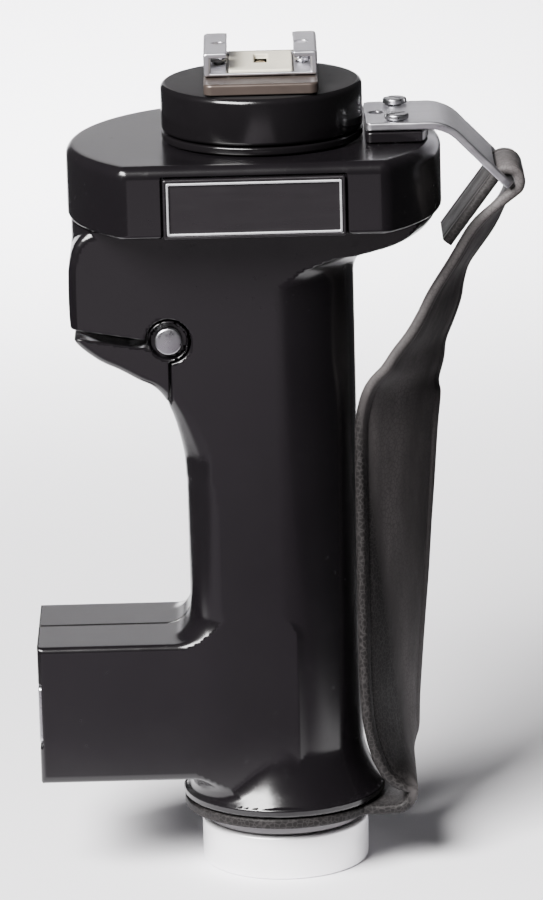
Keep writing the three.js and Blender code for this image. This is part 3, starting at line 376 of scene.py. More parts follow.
def head_points():
    top = [(DRUM_X, SHELL_TOP), (HEAD_LEFT + SHOULDER_W, SHELL_TOP)]
    for i in range(1, 9):
        t = i / 8
        top.append((HEAD_LEFT + SHOULDER_W * (1 - t) ** 2, SHELL_TOP - SHOULDER_H * t * t))
    corner = [(HEAD_LEFT + inset, height) for inset, height in HEAD_CORNER]
    under = [(HEAD_LEFT + a * (-LEFT - HEAD_LEFT), TIP_Z - b * UNDER_H) for a, b in UNDER]
    inside = [(-LEFT + 3.0, TIP_Z - UNDER_H - 14.0), (DRUM_X, TIP_Z - UNDER_H)]
    return top + spline(corner + under, 8) + inside


def from_pin(along, up):
    c, s = math.cos(SLIT_ANGLE), math.sin(SLIT_ANGLE)
    return PIN_X - along * c + up * s, PIN_Z + along * s + up * c


# Room of the trigger. Its edges slant on their way in, so that no light shows through the gap
def trigger_space(x, y, z, top_edge, margin):
    inward = np.clip(DEEP - 0.4 - np.abs(y), 0.0, SLANT_DEPTH)
    below = z < PIN_Z - HUB_R - 1.0
    x = np.where(below, x + SLANT_SIDE * inward, x)
    beside_hub = np.clip((PIN_X - HUB_R - x) / 3.0, 0.0, 1.0)
    beside_tip = np.clip((x - HEAD_LEFT - 2.0) / 5.0, 0.0, 1.0)
    z = np.where(below, z, z + SLANT_TOP * inward * beside_hub * beside_tip)
    reach = 2 * (PIN_X - HEAD_LEFT)
    low = TIP_Z - UNDER_H - 1.0
    outline = flat_outline([from_pin(0, top_edge), from_pin(reach, top_edge), (PIN_X - reach, low),
                            (PIN_X + margin, low), (PIN_X + margin, PIN_Z)])
    return np.minimum(outline(x, z), np.hypot(x - PIN_X, z - PIN_Z) - HUB_R - margin)


HEAD_OUTLINE = flat_outline(head_points())
BOX_OUTLINE = flat_outline([(-BOX_REACH, BOX_Z), (0, BOX_Z), (0, BOX_TOP), (-BOX_REACH, BOX_TOP)])


# Turned form from rows of radius and height
def turned_form(rows, low, high):
    table = np.array(spline(rows, 12))
    radii, levels = table[:, 0], table[:, 1]
    slopes = np.gradient(radii, levels)

    def distance(away, z):
        side = (away - np.interp(z, levels, radii)) / np.sqrt(1 + np.interp(z, levels, slopes) ** 2)
        return np.maximum(side, np.maximum(low - z, z - high))

    return distance


FLARE_FORM = turned_form(
    [(DEEP + out * (FOOT_R - 0.5 - DEEP), FOOT_TOP + up * FLARE_H) for up, out in FLARE],
    FOOT_TOP - 0.5, FOOT_TOP + FLARE_H)
BOWL_FORM = turned_form(
    [(BOWL_FLOOR_R + out * (BOWL_R - BOWL_FLOOR_R), BOWL_FLOOR_Z + up * BOWL_DEPTH) for out, up in BOWL],
    BOWL_FLOOR_Z, SHELL_TOP + 3)


def head_form(x, y, z):
    side = np.abs(y) - DEEP
    edge = 1.6 + 4.4 * np.clip((TIP_Z - 8.0 - z) / 16.0, 0.0, 1.0)
    slab = round_off(HEAD_OUTLINE(x, z), side, edge)
    end = np.maximum(np.hypot(x - DRUM_X, y) - DRUM_R + 0.6, np.maximum(x + LEFT, PIN_Z + 9.0 - z))
    return np.minimum(slab, round_off(end, side + 0.6, 0.5))


# Outside of both shells: column and box blended, then the head, the bowl, the rim and the flare
def shell_outside(x, y, z):
    side = np.abs(y) - DEEP
    column = np.maximum(column_form(x, y, z), FOOT_TOP - z)
    column = round_off(column, np.hypot(x, y) - (FOOT_R - 0.1 + 0.4 * (z - FOOT_Z - FOOT_RIM)), 1.5)
    box = round_off(BOX_OUTLINE(x, z), side, 1.2)
    body = np.maximum(blend_in(column, box, BOX_FILLET), side)
    body = np.maximum(blend_in(body, head_form(x, y, z), 0.4), side)
    dish = np.maximum(BOWL_FORM(np.hypot(x - DRUM_X, y), z), -DEEP - y)
    fillet = 0.05 + BOWL_FILLET * np.clip((x + LEFT - 4.0) / 12.0, 0.0, 1.0)
    body = np.maximum(blend_in(body, dish, fillet), -DEEP - y)
    away = np.hypot(x, y)
    rim = round_off(round_off(away - FOOT_R, z - FOOT_TOP, 0.5), FOOT_Z - z, 0.6)
    soft = 0.05 + 1.3 * np.clip((FOOT_TOP + 9.0 - z) / 9.0, 0.0, 1.0)
    return np.minimum(rim, blend_in(body, FLARE_FORM(away, z), soft))


REAR_SCREWS = ([(RIGHT - 7.5, FOOT_Z + share * 116.5) for share in (0.28, 0.6, 0.86)]
               + [(HEAD_LEFT + 8.6, SHELL_TOP - 9.4), (-BOX_REACH + 17.0, BOX_TOP - 4.6)])
CAP_SCREW_RING = DRUM_R - 7.5
CAP_SCREWS = [(DRUM_X + CAP_SCREW_RING * math.cos(a), CAP_SCREW_RING * math.sin(a))
              for a in map(math.radians, (45, 90, 135))]
LINER_Y, LINER_Z = DEEP - WALL - GAP, 4.0
POST_R, WIDE_POST_R, SINK_R, HOLE_R = 3.4, 3.9, 2.8, 1.5


# Shells with their wall, screw posts and sinks, and the box's mouth, the window and the foot's bore
def shell_form(x, y, z):
    outside = round_off(shell_outside(x, y, z), -trigger_space(x, y, z, SLIT_W / 2 - SLIT_DROP, GAP), 0.3)
    body = np.maximum(outside, -(outside + WALL))
    for sx, sz in REAR_SCREWS:
        body = np.minimum(body, np.maximum(np.hypot(x - sx, z - sz) - POST_R, outside + 0.6))
    for sx, sz in REAR_SCREWS:
        away = np.hypot(x - sx, z - sz)
        body = round_off(body, -np.maximum(away - SINK_R, DEEP - 2.4 - y), 0.3)
        body = np.maximum(body, -np.maximum(away - HOLE_R, -8.0 - y))
    for sx, sy in CAP_SCREWS:
        away = np.hypot(x - sx, y - sy)
        sink = np.maximum(z - SHELL_TOP + 1.3, BOWL_FLOOR_Z - 1 - z)
        body = np.minimum(body, np.maximum(np.maximum(away - WIDE_POST_R, outside + 0.6), BOWL_FLOOR_Z - z))
        body = np.maximum(body, -np.maximum(away - SINK_R, sink))
        body = np.maximum(body, -np.maximum(away - HOLE_R, BOWL_FLOOR_Z - z))
    mouth = box_form(x, y, z, (-BOX_REACH - 5, -LINER_Y - GAP, SOCKET_Z - LINER_Z - GAP),
                     (-BOX_REACH + WALL + 1, LINER_Y + GAP, SOCKET_Z + LINER_Z + GAP))
    flange = box_form(x, y, z, (-BOX_REACH - 5, -LINER_Y - 2.1, SOCKET_Z - LINER_Z - 2.1),
                      (-BOX_REACH + 1.3, LINER_Y + 2.1, SOCKET_Z + LINER_Z + 2.1))
    body = np.maximum(body, -mouth)
    body = round_off(body, -flange, 0.3)
    window = box_form(x, y, z, (PIN_X, -FORK_Y - 0.3, PIN_Z - 1.9),
                      (-LEFT + WALL + 1, FORK_Y + 0.3, PIN_Z + 1.3))
    body = np.maximum(body, -window)
    body = np.maximum(body, z - SHELL_TOP)
    return np.maximum(body, -np.maximum(np.hypot(x, y) - FOOT_BORE_R, z - FOOT_BORE_TOP))


# Trigger: a wedge of the head under the slit, with a fork that reaches the plunger
def trigger_form(x, y, z):
    wedge = round_off(head_form(x, y, z), trigger_space(x, y, z, -SLIT_W / 2 - SLIT_DROP, 0), 0.3)
    fork = box_form(x, y, z, (PIN_X, -FORK_Y, PIN_Z - 1.0), (PIN_X + 13.0, FORK_Y, PIN_Z + 1.0))
    opening = box_form(x, y, z, (PIN_X + 7.4, -2.3, PIN_Z - 3), (PIN_X + 16.0, 2.3, PIN_Z + 3))
    away = np.hypot(x - PIN_X, z - PIN_Z)
    body = np.maximum(np.minimum(wedge, np.maximum(fork, -opening)), PIN_HOLE_R - away)
    return round_off(body, -np.maximum(away - PIN_SINK_R, DEEP - 1.4 - np.abs(y)), 0.35)


PLATE_W, PLATE_H = 34.2, 11.4
CAP_MOUTH_R, BOSS_R, BOSS_BORE_R = 26.7, 8.8, 6.1


# Cap of the head: a flat in front, hollow inside, with posts for its screws and the arm's, and a boss
def cap_form(x, y, z):
    away = np.hypot(x - DRUM_X, y)
    section = round_off(away - DRUM_R, -DRUM_FLAT - y, 1.0)
    body = round_off(round_off(section, z - DRUM_TOP, 2.2), CAP_Z - z, 0.8)
    upper = np.maximum(np.maximum(away - DRUM_R + WALL, z - DRUM_TOP + WALL),
                       np.maximum(CAP_Z + WALL - z, -DRUM_FLAT + WALL - y))
    lower = np.maximum(np.maximum(away - CAP_MOUTH_R, z - DRUM_TOP + WALL), -DEEP + WALL - y)
    body = np.maximum(body, -np.minimum(upper, lower))
    for sx, sy in CAP_SCREWS:
        post = np.hypot(x - sx, y - sy)
        body = np.minimum(body, np.maximum(post - POST_R, np.maximum(CAP_Z - z, z - DRUM_TOP + 1)))
        body = np.maximum(body, -np.maximum(post - HOLE_R, z - CAP_Z - 8.7))
    for sy in (-ARM_SCREW_Y, ARM_SCREW_Y):
        post = np.hypot(x - ARM_SCREW_X, y - sy)
        body = np.minimum(body, np.maximum(post - POST_R, np.maximum(DRUM_TOP - 8.4 - z, z - DRUM_TOP + 1)))
        body = np.maximum(body, -np.maximum(post - HOLE_R, DRUM_TOP - 6.3 - z))
    boss = np.hypot(x - TURRET_X, y)
    body = np.minimum(body, np.maximum(boss - BOSS_R, np.maximum(DRUM_TOP - 8.0 - z, z - DRUM_TOP + 1)))
    body = np.maximum(body, BOSS_BORE_R - boss)
    pocket = box_form(x, y, z, (DRUM_X - PLATE_W / 2 - GAP, -DRUM_FLAT - 5, CAP_Z - 5),
                      (DRUM_X + PLATE_W / 2 + GAP, -DRUM_FLAT + 0.7, CAP_Z + PLATE_H + GAP))
    return round_off(body, -pocket, 0.25)


def slope_at(form, p, h=0.02):
    parts = []
    for axis in range(3):
        step = np.zeros(3)
        step[axis] = h
        parts.append((form(*(p + step).T) - form(*(p - step).T)) / (2 * h))
    return np.stack(parts, 1)


# Surface of a form between two corners: one point in each cell that it crosses, moved onto the form,
# with the quads between neighbours and the form's slope as the normals
def surface(form, low, high, cell):
    axes = [np.arange(a - 1.5 * cell, b + 2.5 * cell, cell) for a, b in zip(low, high)]
    shape = tuple(len(a) for a in axes)
    x, y, z = axes[0][:, None, None], axes[1][None, :, None], axes[2][None, None, :]
    values = np.ascontiguousarray(np.broadcast_to(form(x, y, z), shape))
    inside = values < 0
    count = np.zeros(tuple(n - 1 for n in shape), np.int8)
    for i, j, k in itertools.product((0, 1), repeat=3):
        count += inside[i:shape[0] - 1 + i, j:shape[1] - 1 + j, k:shape[2] - 1 + k]
    active = (count > 0) & (count < 8)
    cells = np.argwhere(active)
    number = np.full(active.shape, -1)
    number[active] = np.arange(len(cells))
    total, hits = np.zeros((len(cells), 3)), np.zeros(len(cells))
    for corner in itertools.product((0, 1), repeat=3):
        for axis in range(3):
            if corner[axis]:
                continue
            a = np.array(corner)
            b = a.copy()
            b[axis] = 1
            va, vb = values[tuple((cells + a).T)], values[tuple((cells + b).T)]
            cross = (va < 0) != (vb < 0)
            t = np.where(cross, va / np.where(cross, va - vb, 1.0), 0.0)
            total += np.where(cross[:, None], cells + a + t[:, None] * (b - a), 0.0)
            hits += cross
    p = np.array([a[0] for a in axes]) + cell * total / hits[:, None]
    faces = []
    for axis, u, v in ((0, 1, 2), (1, 2, 0), (2, 0, 1)):
        first = [slice(None)] * 3
        second = [slice(None)] * 3
        first[axis], second[axis] = slice(None, -1), slice(1, None)
        index = np.argwhere(inside[tuple(first)] != inside[tuple(second)])
        eu, ev = np.eye(3, dtype=int)[u], np.eye(3, dtype=int)[v]
        quads = np.stack([number[tuple((index - s).T)] for s in (0 * eu, eu, eu + ev, ev)], 1)
        away = ~inside[tuple(index.T)]
        quads[away] = quads[away][:, ::-1]
        faces.append(quads)
    for _ in range(4):
        g = slope_at(form, p)
        size = np.maximum((g * g).sum(1), 0.25)
        move = -(form(*p.T) / size)[:, None] * g
        length = np.linalg.norm(move, axis=1, keepdims=True)
        p = p + move * np.minimum(1.0, 0.3 * cell / np.maximum(length, 1e-9))
    g = slope_at(form, p)
    return p, np.concatenate(faces), g / np.maximum(np.linalg.norm(g, axis=1, keepdims=True), 1e-9)


def new_mesh(name, verts, faces, sharp_angle=None, turn_outward=False):
    mesh = bpy.data.meshes.new(name)
    mesh.from_pydata(verts, [], faces)
    if turn_outward:
        work = bmesh.new()
        work.from_mesh(mesh)
        bmesh.ops.recalc_face_normals(work, faces=work.faces)
        work.to_mesh(mesh)
        work.free()
    mesh.polygons.foreach_set("use_smooth", [True] * len(mesh.polygons))
    if sharp_angle is not None:
        mesh.set_sharp_from_angle(angle=math.radians(sharp_angle))
    return mesh


def mesh_of_form(name, points, quads, normals):
    mesh = new_mesh(name, (points * MM).tolist(), quads.tolist())
    mesh.normals_split_custom_set_from_vertices(normals.tolist())
    mesh.update()
    return mesh


def new_object(name, mesh, look, body, replaced):
    obj = bpy.data.objects.new(name, mesh)
    bpy.context.scene.collection.objects.link(obj)
    mesh.materials.append(LOOKS[look])
    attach(obj, body)
    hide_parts(*replaced)
    return obj


def formed(name, form, low, high, cell, look, body, replaced):
    new_object(name, mesh_of_form(name, *surface(form, low, high, cell)), look, body, replaced)


formed("shell_front", lambda x, y, z: round_off(shell_form(x, y, z), y + GAP / 2, 0.25),
       (-47, -19.8, 13.7), (31.9, 0, 130), 0.6,
       "black_plastic", "grip", ["grip_shell_front"])
formed("shell_rear", lambda x, y, z: round_off(shell_form(x, y, z), GAP / 2 - y, 0.25),
       (-47, 0, 13.7), (31.9, 35, 130), 0.6,
       "black_plastic", "grip", ["grip_shell_rear"])
formed("head_cap", cap_form, (-38.7, -25.6, 130), (32.9, 35.8, 144.1), 0.55,
       "black_plastic", "grip", ["drum_cap"])
formed("squeeze_trigger", trigger_form, (-38.7, -15.6, 79), (-6.5, 15.6, 112.5), 0.5,
       "black_plastic", "trigger", ["release_trigger"])


# Turned pieces: a closed profile of radius and height swept round
TURN_STEPS = 180


def turned(name, profile, x, look, body, replaced):
    ring = len(profile)
    verts = [((x + r * math.cos(a)) * MM, r * math.sin(a) * MM, z * MM)
             for a in (2 * math.pi * i / TURN_STEPS for i in range(TURN_STEPS)) for r, z in profile]
    faces = []
    for i in range(TURN_STEPS):
        here, there = i * ring, (i + 1) % TURN_STEPS * ring
        faces += [(here + k, there + k, there + (k + 1) % ring, here + (k + 1) % ring) for k in range(ring)]
    new_object(name, new_mesh(name, verts, faces, 40), look, body, replaced)


def arc(r, z, radius, start, end, steps=5):
    angles = [math.radians(start + (end - start) * i / steps) for i in range(steps + 1)]
    return [(r + radius * math.cos(a), z + radius * math.sin(a)) for a in angles]


# Turret: collar, disc with its recess, and the shoe on its base plate
RECESS_R, RECESS_Z = 7.3, DISC_TOP - 3.3
turned("turret_ring", [(SPINDLE_BORE_R, COLLAR_Z)] + arc(TURRET_R - 0.4, COLLAR_Z + 0.4, 0.4, -90, 0)
       + arc(TURRET_R - 0.3, DISC_Z - GAP - 0.3, 0.3, 0, 90) + [(SPINDLE_BORE_R, DISC_Z - GAP)],
       TURRET_X, "turret_plastic", "grip", ["turret_collar"])
turned("turret_top", [(SPINDLE_BORE_R, DISC_Z)] + arc(TURRET_R - 0.7, DISC_Z + 0.7, 0.7, -90, 0)
       + arc(TURRET_R - 1.2, DISC_TOP - 1.2, 1.2, 0, 90, 7)
       + [(RECESS_R, DISC_TOP), (RECESS_R, RECESS_Z), (SPINDLE_BORE_R, RECESS_Z)],
       TURRET_X, "turret_plastic", "turret", ["turret_disc"])


def shoe_screw_holes(body, x, y):
    for side in (-1, 1):
        body = np.maximum(body, SHOE_HOLE_R - np.hypot(x - TURRET_X - side * SHOE_SCREW_X, y))
    return body


def base_plate_form(x, y, z):
    outline = round_off(np.abs(x - TURRET_X) - 10.8, np.abs(y) - 16.4, 1.6)
    return shoe_screw_holes(round_off(round_off(outline, z - BASE_Z - 2.1, 0.5), BASE_Z - z, 0.2), x, y)


def shoe_form(x, y, z):
    u = np.abs(x - TURRET_X)
    body = round_off(np.maximum(u - 10.75, SHOE_Z - z), z - SHOE_Z - 4.5, 0.7)
    body = round_off(body, np.abs(y) - 10.0, 0.35)
    inner = np.maximum(np.maximum(u - 9.55, z - SHOE_Z - 3.5), SHOE_Z + 0.6 - z)
    body = round_off(body, -np.minimum(inner, np.maximum(u - 6.25, SHOE_Z + 0.6 - z)), 0.25)
    return shoe_screw_holes(np.maximum(body, -np.maximum(u - 6.3, np.abs(y) - 9.4)), x, y)


def insulator_form(x, y, z):
    u = x - TURRET_X
    body = round_off(round_off(np.abs(u) - 6.0, np.abs(y) - 9.1, 0.4), z - SHOE_Z - 1.0, 0.25)
    body = np.maximum(body, SHOE_Z - z)
    well = round_off(np.abs(u - 0.1) - 1.35, np.abs(y - 1.9) - 4.1, 0.4)
    return round_off(body, -np.maximum(well, SHOE_Z + 0.15 - z), 0.15)


formed("shoe_plate", base_plate_form, (-12, -16.5, 155.3), (9.8, 16.5, 157.6), 0.35,
       "dark_metal", "turret", ["shoe_base"])
formed("shoe_channel", shoe_form, (-12, -10.1, 157.7), (9.8, 10.1, 162.4), 0.28,
       "aluminium", "turret", ["accessory_shoe"])
formed("shoe_floor", insulator_form, (-7.2, -9.2, 157.7), (5, 9.2, 158.9), 0.22,
       "insulator", "turret", ["shoe_insulator"])


# Slotted screw with its head above the origin and its shaft downwards
def screw_form(head, high, shaft, length, slot):
    def form(x, y, z):
        body = round_off(round_off(np.hypot(x, y) - head, z - high, min(0.45, high * 0.4)), -z, 0.12)
        cut = round_off(body, -np.maximum(np.abs(y) - slot, high * 0.45 - z), 0.08)
        return np.minimum(cut, np.maximum(np.hypot(x, y) - shaft, np.maximum(-length - z, z - 0.1)))
    return form


HEAD_UP = np.eye(3, dtype=int)
HEAD_TO_REAR = np.array(((1, 0, 0), (0, 0, 1), (0, -1, 0)))
HEAD_DOWN = np.array(((1, 0, 0), (0, -1, 0), (0, 0, -1)))


# Screws of one size, each at its place and with its slot at its own angle
def screws(head, high, shaft, length, slot, places, cell, body, facing):
    form = screw_form(head, high, shaft, length, slot)
    points, quads, normals = surface(form, (-head, -head, -length), (head, head, high), cell)
    for name, place, angle, replaced in places:
        c, s = math.cos(angle), math.sin(angle)
        spin = facing @ np.array(((c, -s, 0), (s, c, 0), (0, 0, 1)))
        mesh = mesh_of_form(name, points @ spin.T + place, quads, normals @ spin.T)
        new_object(name, mesh, "steel", body, [replaced])


ARM_HEAD_Z, SHOE_HEAD_Z, SHELL_HEAD_Y, CAP_HEAD_Z = 148.4, 158.7, DEEP - 2.1, SHELL_TOP - 1.6
screws(2.3, 1.0, 1.2, 10.0, 0.28,
       [(f"arm_fixing_{side}", (ARM_SCREW_X, y, ARM_HEAD_Z), angle, f"arm_screw_{side}")
        for side, y, angle in (("front", -ARM_SCREW_Y, 0.5), ("rear", ARM_SCREW_Y, -0.7))],
       0.2, "grip", HEAD_UP)
screws(1.5, 0.8, 0.9, 6.7, 0.2,
       [(f"shoe_fixing_{side}", (TURRET_X + x, 0, SHOE_HEAD_Z), angle, f"shoe_screw_{side}")
        for side, x, angle in (("left", -SHOE_SCREW_X, 0.4), ("right", SHOE_SCREW_X, 1.3))],
       0.16, "turret", HEAD_UP)
screws(2.5, 1.8, 1.2, 24.0, 0.35,
       [(f"shell_fixing_{i + 1}", (x, SHELL_HEAD_Y, z), 0.6 * i + 0.2, f"shell_screw_{i + 1}")
        for i, (x, z) in enumerate(REAR_SCREWS)],
       0.25, "grip", HEAD_TO_REAR)
screws(2.5, 1.8, 1.2, 10.0, 0.35,
       [(f"cap_fixing_{i + 1}", (x, y, CAP_HEAD_Z), 0.9 * i, f"cap_screw_{i + 1}")
        for i, (x, y) in enumerate(CAP_SCREWS)],
       0.25, "grip", HEAD_DOWN)


# Trigger pin with a domed head in front and a cap behind
def pin_form(x, y, z):
    away = np.hypot(x - PIN_X, z - PIN_Z)
    head = round_off(away - PIN_HEAD_R, -y - DEEP - GAP + 0.03 * away * away, 0.3)
    head = np.maximum(head, y + DEEP - 1.1)
    return np.minimum(head, np.maximum(away - PIN_R, np.maximum(-y - DEEP + 1.0, y - DEEP + 1.5)))


formed("pin_front", pin_form, (PIN_X - 2.7, -15.9, PIN_Z - 2.7), (PIN_X + 2.7, 14.1, PIN_Z + 2.7), 0.25,
       "steel", "grip", ["trigger_pin"])
formed("pin_rear", lambda x, y, z: np.maximum(pin_form(x, -y, z), DEEP - 1.1 - y),
       (PIN_X - 2.7, 14.3, PIN_Z - 2.7), (PIN_X + 2.7, 15.9, PIN_Z + 2.7), 0.25,
       "steel", "grip", ["trigger_pin_cap"])


# Bare nameplate with a raised rim and a bright line inside it
PLATE_FACE = -DRUM_FLAT + 0.7 - GAP - 0.6


def plate_edge(x, z, inset, r):
    u, v = np.abs(x - DRUM_X), np.abs(z - CAP_Z - PLATE_H / 2)
    return round_off(u - PLATE_W / 2 + inset, v - PLATE_H / 2 + inset, r)


def plate_form(x, y, z):
    body = round_off(plate_edge(x, z, 0.0, 0.5), PLATE_FACE - 0.3 - y, 0.22)
    body = np.maximum(body, y + DRUM_FLAT - 0.4)
    return round_off(body, -np.maximum(plate_edge(x, z, 0.55, 0.3), y - PLATE_FACE), 0.12)


def border_form(x, y, z):
    line = round_off(plate_edge(x, z, 0.65, 0.3), -plate_edge(x, z, 1.1, 0.2), 0.1)
    return round_off(line, np.abs(y - PLATE_FACE + 0.2) - 0.15, 0.1)


formed("plate_bare", plate_form, (-20.1, -25.8, 130.1), (14.3, -24.9, 141.7), 0.2,
       "plate", "grip", ["nameplate"])
formed("plate_line", border_form, (-19.5, -26.0, 130.7), (13.7, -25.4, 141.1), 0.14,
       "plate_line", "grip", ["nameplate"])


# Strap arm and its pad
ARM_MID = ARM_Z + ARM_T / 2
BEND_X, BEND_Z = ARM_BEND_X + ARM_BEND_R * math.sin(ARM_BEND), ARM_MID - ARM_BEND_R * (1 - math.cos(ARM_BEND))
BAR_X, BAR_Z = BEND_X + ARM_DROP * math.cos(ARM_BEND), BEND_Z - ARM_DROP * math.sin(ARM_BEND)


def on_arm(along, side):
    c, s = math.cos(ARM_BEND), math.sin(ARM_BEND)
    return BEND_X + along * c + side * s, BEND_Z - along * s + side * c


def arm_curve(side):
    r = ARM_BEND_R + side
    return [(ARM_BEND_X + r * math.sin(a), ARM_MID - ARM_BEND_R + r * math.cos(a))
            for a in (ARM_BEND * i / 12 for i in range(13))]


ARM_END = ARM_DROP + ARM_BAR / 2
HALF_T = ARM_T / 2
STRIP = flat_outline([(ARM_X, ARM_MID + HALF_T)] + arm_curve(HALF_T)
                     + [on_arm(ARM_END, HALF_T), on_arm(ARM_END, -HALF_T)]
                     + arm_curve(-HALF_T)[::-1] + [(ARM_X, ARM_MID - HALF_T)])
SLOT = flat_outline([on_arm(along, side) for along, side in ((8.95, 2), (12.15, 2), (12.15, -2), (8.95, -2))])


def arm_form(x, y, z):
    side = np.abs(y) - ARM_W / 2
    body = round_off(STRIP(x, z), side, 0.35)
    past = (x - BEND_X) * math.cos(ARM_BEND) - (z - BEND_Z) * math.sin(ARM_BEND) - ARM_END
    body = np.maximum(body, round_off(past, side, 2.2))
    body = np.maximum(body, round_off(ARM_X - x, side, 1.2))
    body = round_off(body, -np.maximum(SLOT(x, z), side + ARM_RAIL), 0.3)
    flat = np.maximum(ARM_Z - 1 - z, x - ARM_BEND_X)
    for sy in (-ARM_SCREW_Y, ARM_SCREW_Y):
        body = np.maximum(body, -np.maximum(np.hypot(x - ARM_SCREW_X, y - sy) - HOLE_R, flat))
    return round_off(body, -np.maximum(np.hypot(x - ARM_X - 2.2, y) - 1.3, flat), 0.25)


def arm_pad_form(x, y, z):
    outline = np.maximum(round_off(ARM_X - x, np.abs(y) - ARM_W / 2, 1.2), x - ARM_BEND_X)
    outline = np.maximum(outline, np.hypot(x - DRUM_X, y) - 33.6)
    body = round_off(round_off(outline, z - ARM_PAD_TOP, 0.35), COLLAR_Z - z, 0.15)
    for sy in (-ARM_SCREW_Y, ARM_SCREW_Y):
        body = np.maximum(body, HOLE_R - np.hypot(x - ARM_SCREW_X, y - sy))
    return body


formed("arm_strip", arm_form, (18.3, -10.3, 134), (46.9, 10.3, 148.2), 0.35,
       "aluminium", "grip", ["strap_arm"])
formed("arm_seat", arm_pad_form, (18.3, -10.3, 144.2), (30.5, 10.3, 146.4), 0.35,
       "black_plastic", "grip", ["strap_arm_pad"])


# Skin of a tube: rings of points joined one to the next, closed at both ends
def tube_faces(rings, sides):
    faces = []
    for i in range(rings - 1):
        here, there = i * sides, (i + 1) * sides
        faces += [(here + k, here + (k + 1) % sides, there + (k + 1) % sides, there + k)
                  for k in range(sides)]
    return faces + [tuple(range(sides)), tuple(range((rings - 1) * sides, rings * sides))]


# Plunger spring
SPRING_X, SPRING_Z, SPRING_H, SPRING_R, SPRING_WIRE, SPRING_TURNS = -9.9, 97.2, 7.4, 3.1, 0.8, 6


def make_spring(sides=10, steps=28):
    verts = []
    climb = SPRING_H - SPRING_WIRE
    pitch = climb / (2 * math.pi * SPRING_TURNS)
    for i in range(SPRING_TURNS * steps + 1):
        t = i / (SPRING_TURNS * steps)
        a = 2 * math.pi * SPRING_TURNS * t
        out = Vector((math.cos(a), math.sin(a), 0))
        along = Vector((-math.sin(a) * SPRING_R, math.cos(a) * SPRING_R, pitch))
        side = along.normalized().cross(out)
        centre = Vector((SPRING_X, 0, SPRING_Z + SPRING_WIRE / 2 + t * climb)) + out * SPRING_R
        for k in range(sides):
            b = 2 * math.pi * k / sides
            verts.append((centre + (out * math.cos(b) + side * math.sin(b)) * SPRING_WIRE / 2) * MM)
    faces = tube_faces(len(verts) // sides, sides)
    mesh = new_mesh("spring_coil", verts, faces, 60, turn_outward=True)
    spring = new_object("spring_coil", mesh, "steel", "grip", ["plunger_spring"])
    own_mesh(spring)


make_spring()


# Base knob with its step in painted shade, and the liner of the socket
BORE_END, AXIS_R = 5.0, 0.001
turned("knob_turned",
       [(KNOB_BORE_R, BORE_END + 0.1), (KNOB_BORE_R, BORE_END), (AXIS_R, BORE_END), (AXIS_R, 0.0)]
       + arc(KNOB_R - 0.8, 0.8, 0.8, -90, 0) + arc(KNOB_R - 0.6, KNOB_H - 0.6, 0.6, 0, 90)
       + [(KNOB_BORE_R, KNOB_H)],
       0.0, "knob", "knob", ["base_knob"])
turned("knob_step_painted_shade", [(KNOB_BORE_R, KNOB_H + 0.05), (KNOB_R - 1.4, KNOB_H + 0.05)]
       + arc(KNOB_R - 1.4, KNOB_H + 0.75, 0.7, -90, 0) + arc(KNOB_R - 1.0, KNOB_TOP - 0.3, 0.3, 0, 90)
       + [(KNOB_BORE_R, KNOB_TOP)],
       0.0, "knob_step_painted_shade", "knob", ["base_knob"])


def liner_form(x, y, z):
    v, w, inward = np.abs(y), np.abs(z - SOCKET_Z), x + BOX_REACH
    body = np.maximum(np.maximum(v - LINER_Y, w - LINER_Z), np.maximum(-inward, inward - 22.8))
    flange = round_off(v - LINER_Y - 1.8, w - LINER_Z - 1.8, 1.2)
    flange = round_off(np.maximum(flange, inward - 1.0), -inward, 0.3)
    hollow = np.maximum(np.maximum(v - LINER_Y + 0.8, w - LINER_Z + 0.8), inward - 22.0)
    return round_off(np.minimum(body, flange), -hollow, 0.35)


formed("socket_sleeve", liner_form, (-47.1, -14.8, 28.2), (-24, 14.8, 40.2), 0.4,
       "steel", "grip", ["socket_liner"])


# Leather hand strap: washer under the foot, twisted run, loop over the arm's bar, tail.
# A row of the run gives its share of the way up, its near and far edge as shares of the way out
# to the bar, and the share of the strap's full width that is left
RUN = [(0.063, 0.12, 0.36, 1), (0.13, 0.02, 0.368, 1), (0.214, -0.008, 0.395, 1),
       (0.281, -0.01, 0.42, 1), (0.347, -0.01, 0.446, 1), (0.429, -0.01, 0.472, 1),
       (0.495, -0.01, 0.496, 1), (0.577, -0.008, 0.523, 1), (0.626, 0.0, 0.546, 1),
       (0.664, 0.045, 0.568, 1), (0.696, 0.15, 0.589, 1), (0.727, 0.235, 0.61, 0.9),
       (0.759, 0.334, 0.654, 0.75), (0.791, 0.415, 0.696, 0.6), (0.822, 0.484, 0.719, 0.45),
       (0.853, 0.565, 0.76, 0.3), (0.882, 0.64, 0.84, 0.15), (0.93, 0.775, 0.975, 0.05)]
STRAP_W, STRAP_END_W, STRAP_BEND_X, STRAP_BEND_R, LOOP_R, TAIL = 24.4, 16.4, 24.9, 3.6, 2.434, 16.2
LEAN = math.atan(0.75)
UNDER_FOOT = (6.0, 10.0, 14.0, 18.0, STRAP_BEND_X - STRAP_BEND_R)
WASHER_R, WASHER_HOLE_R = 19.5, 3.4


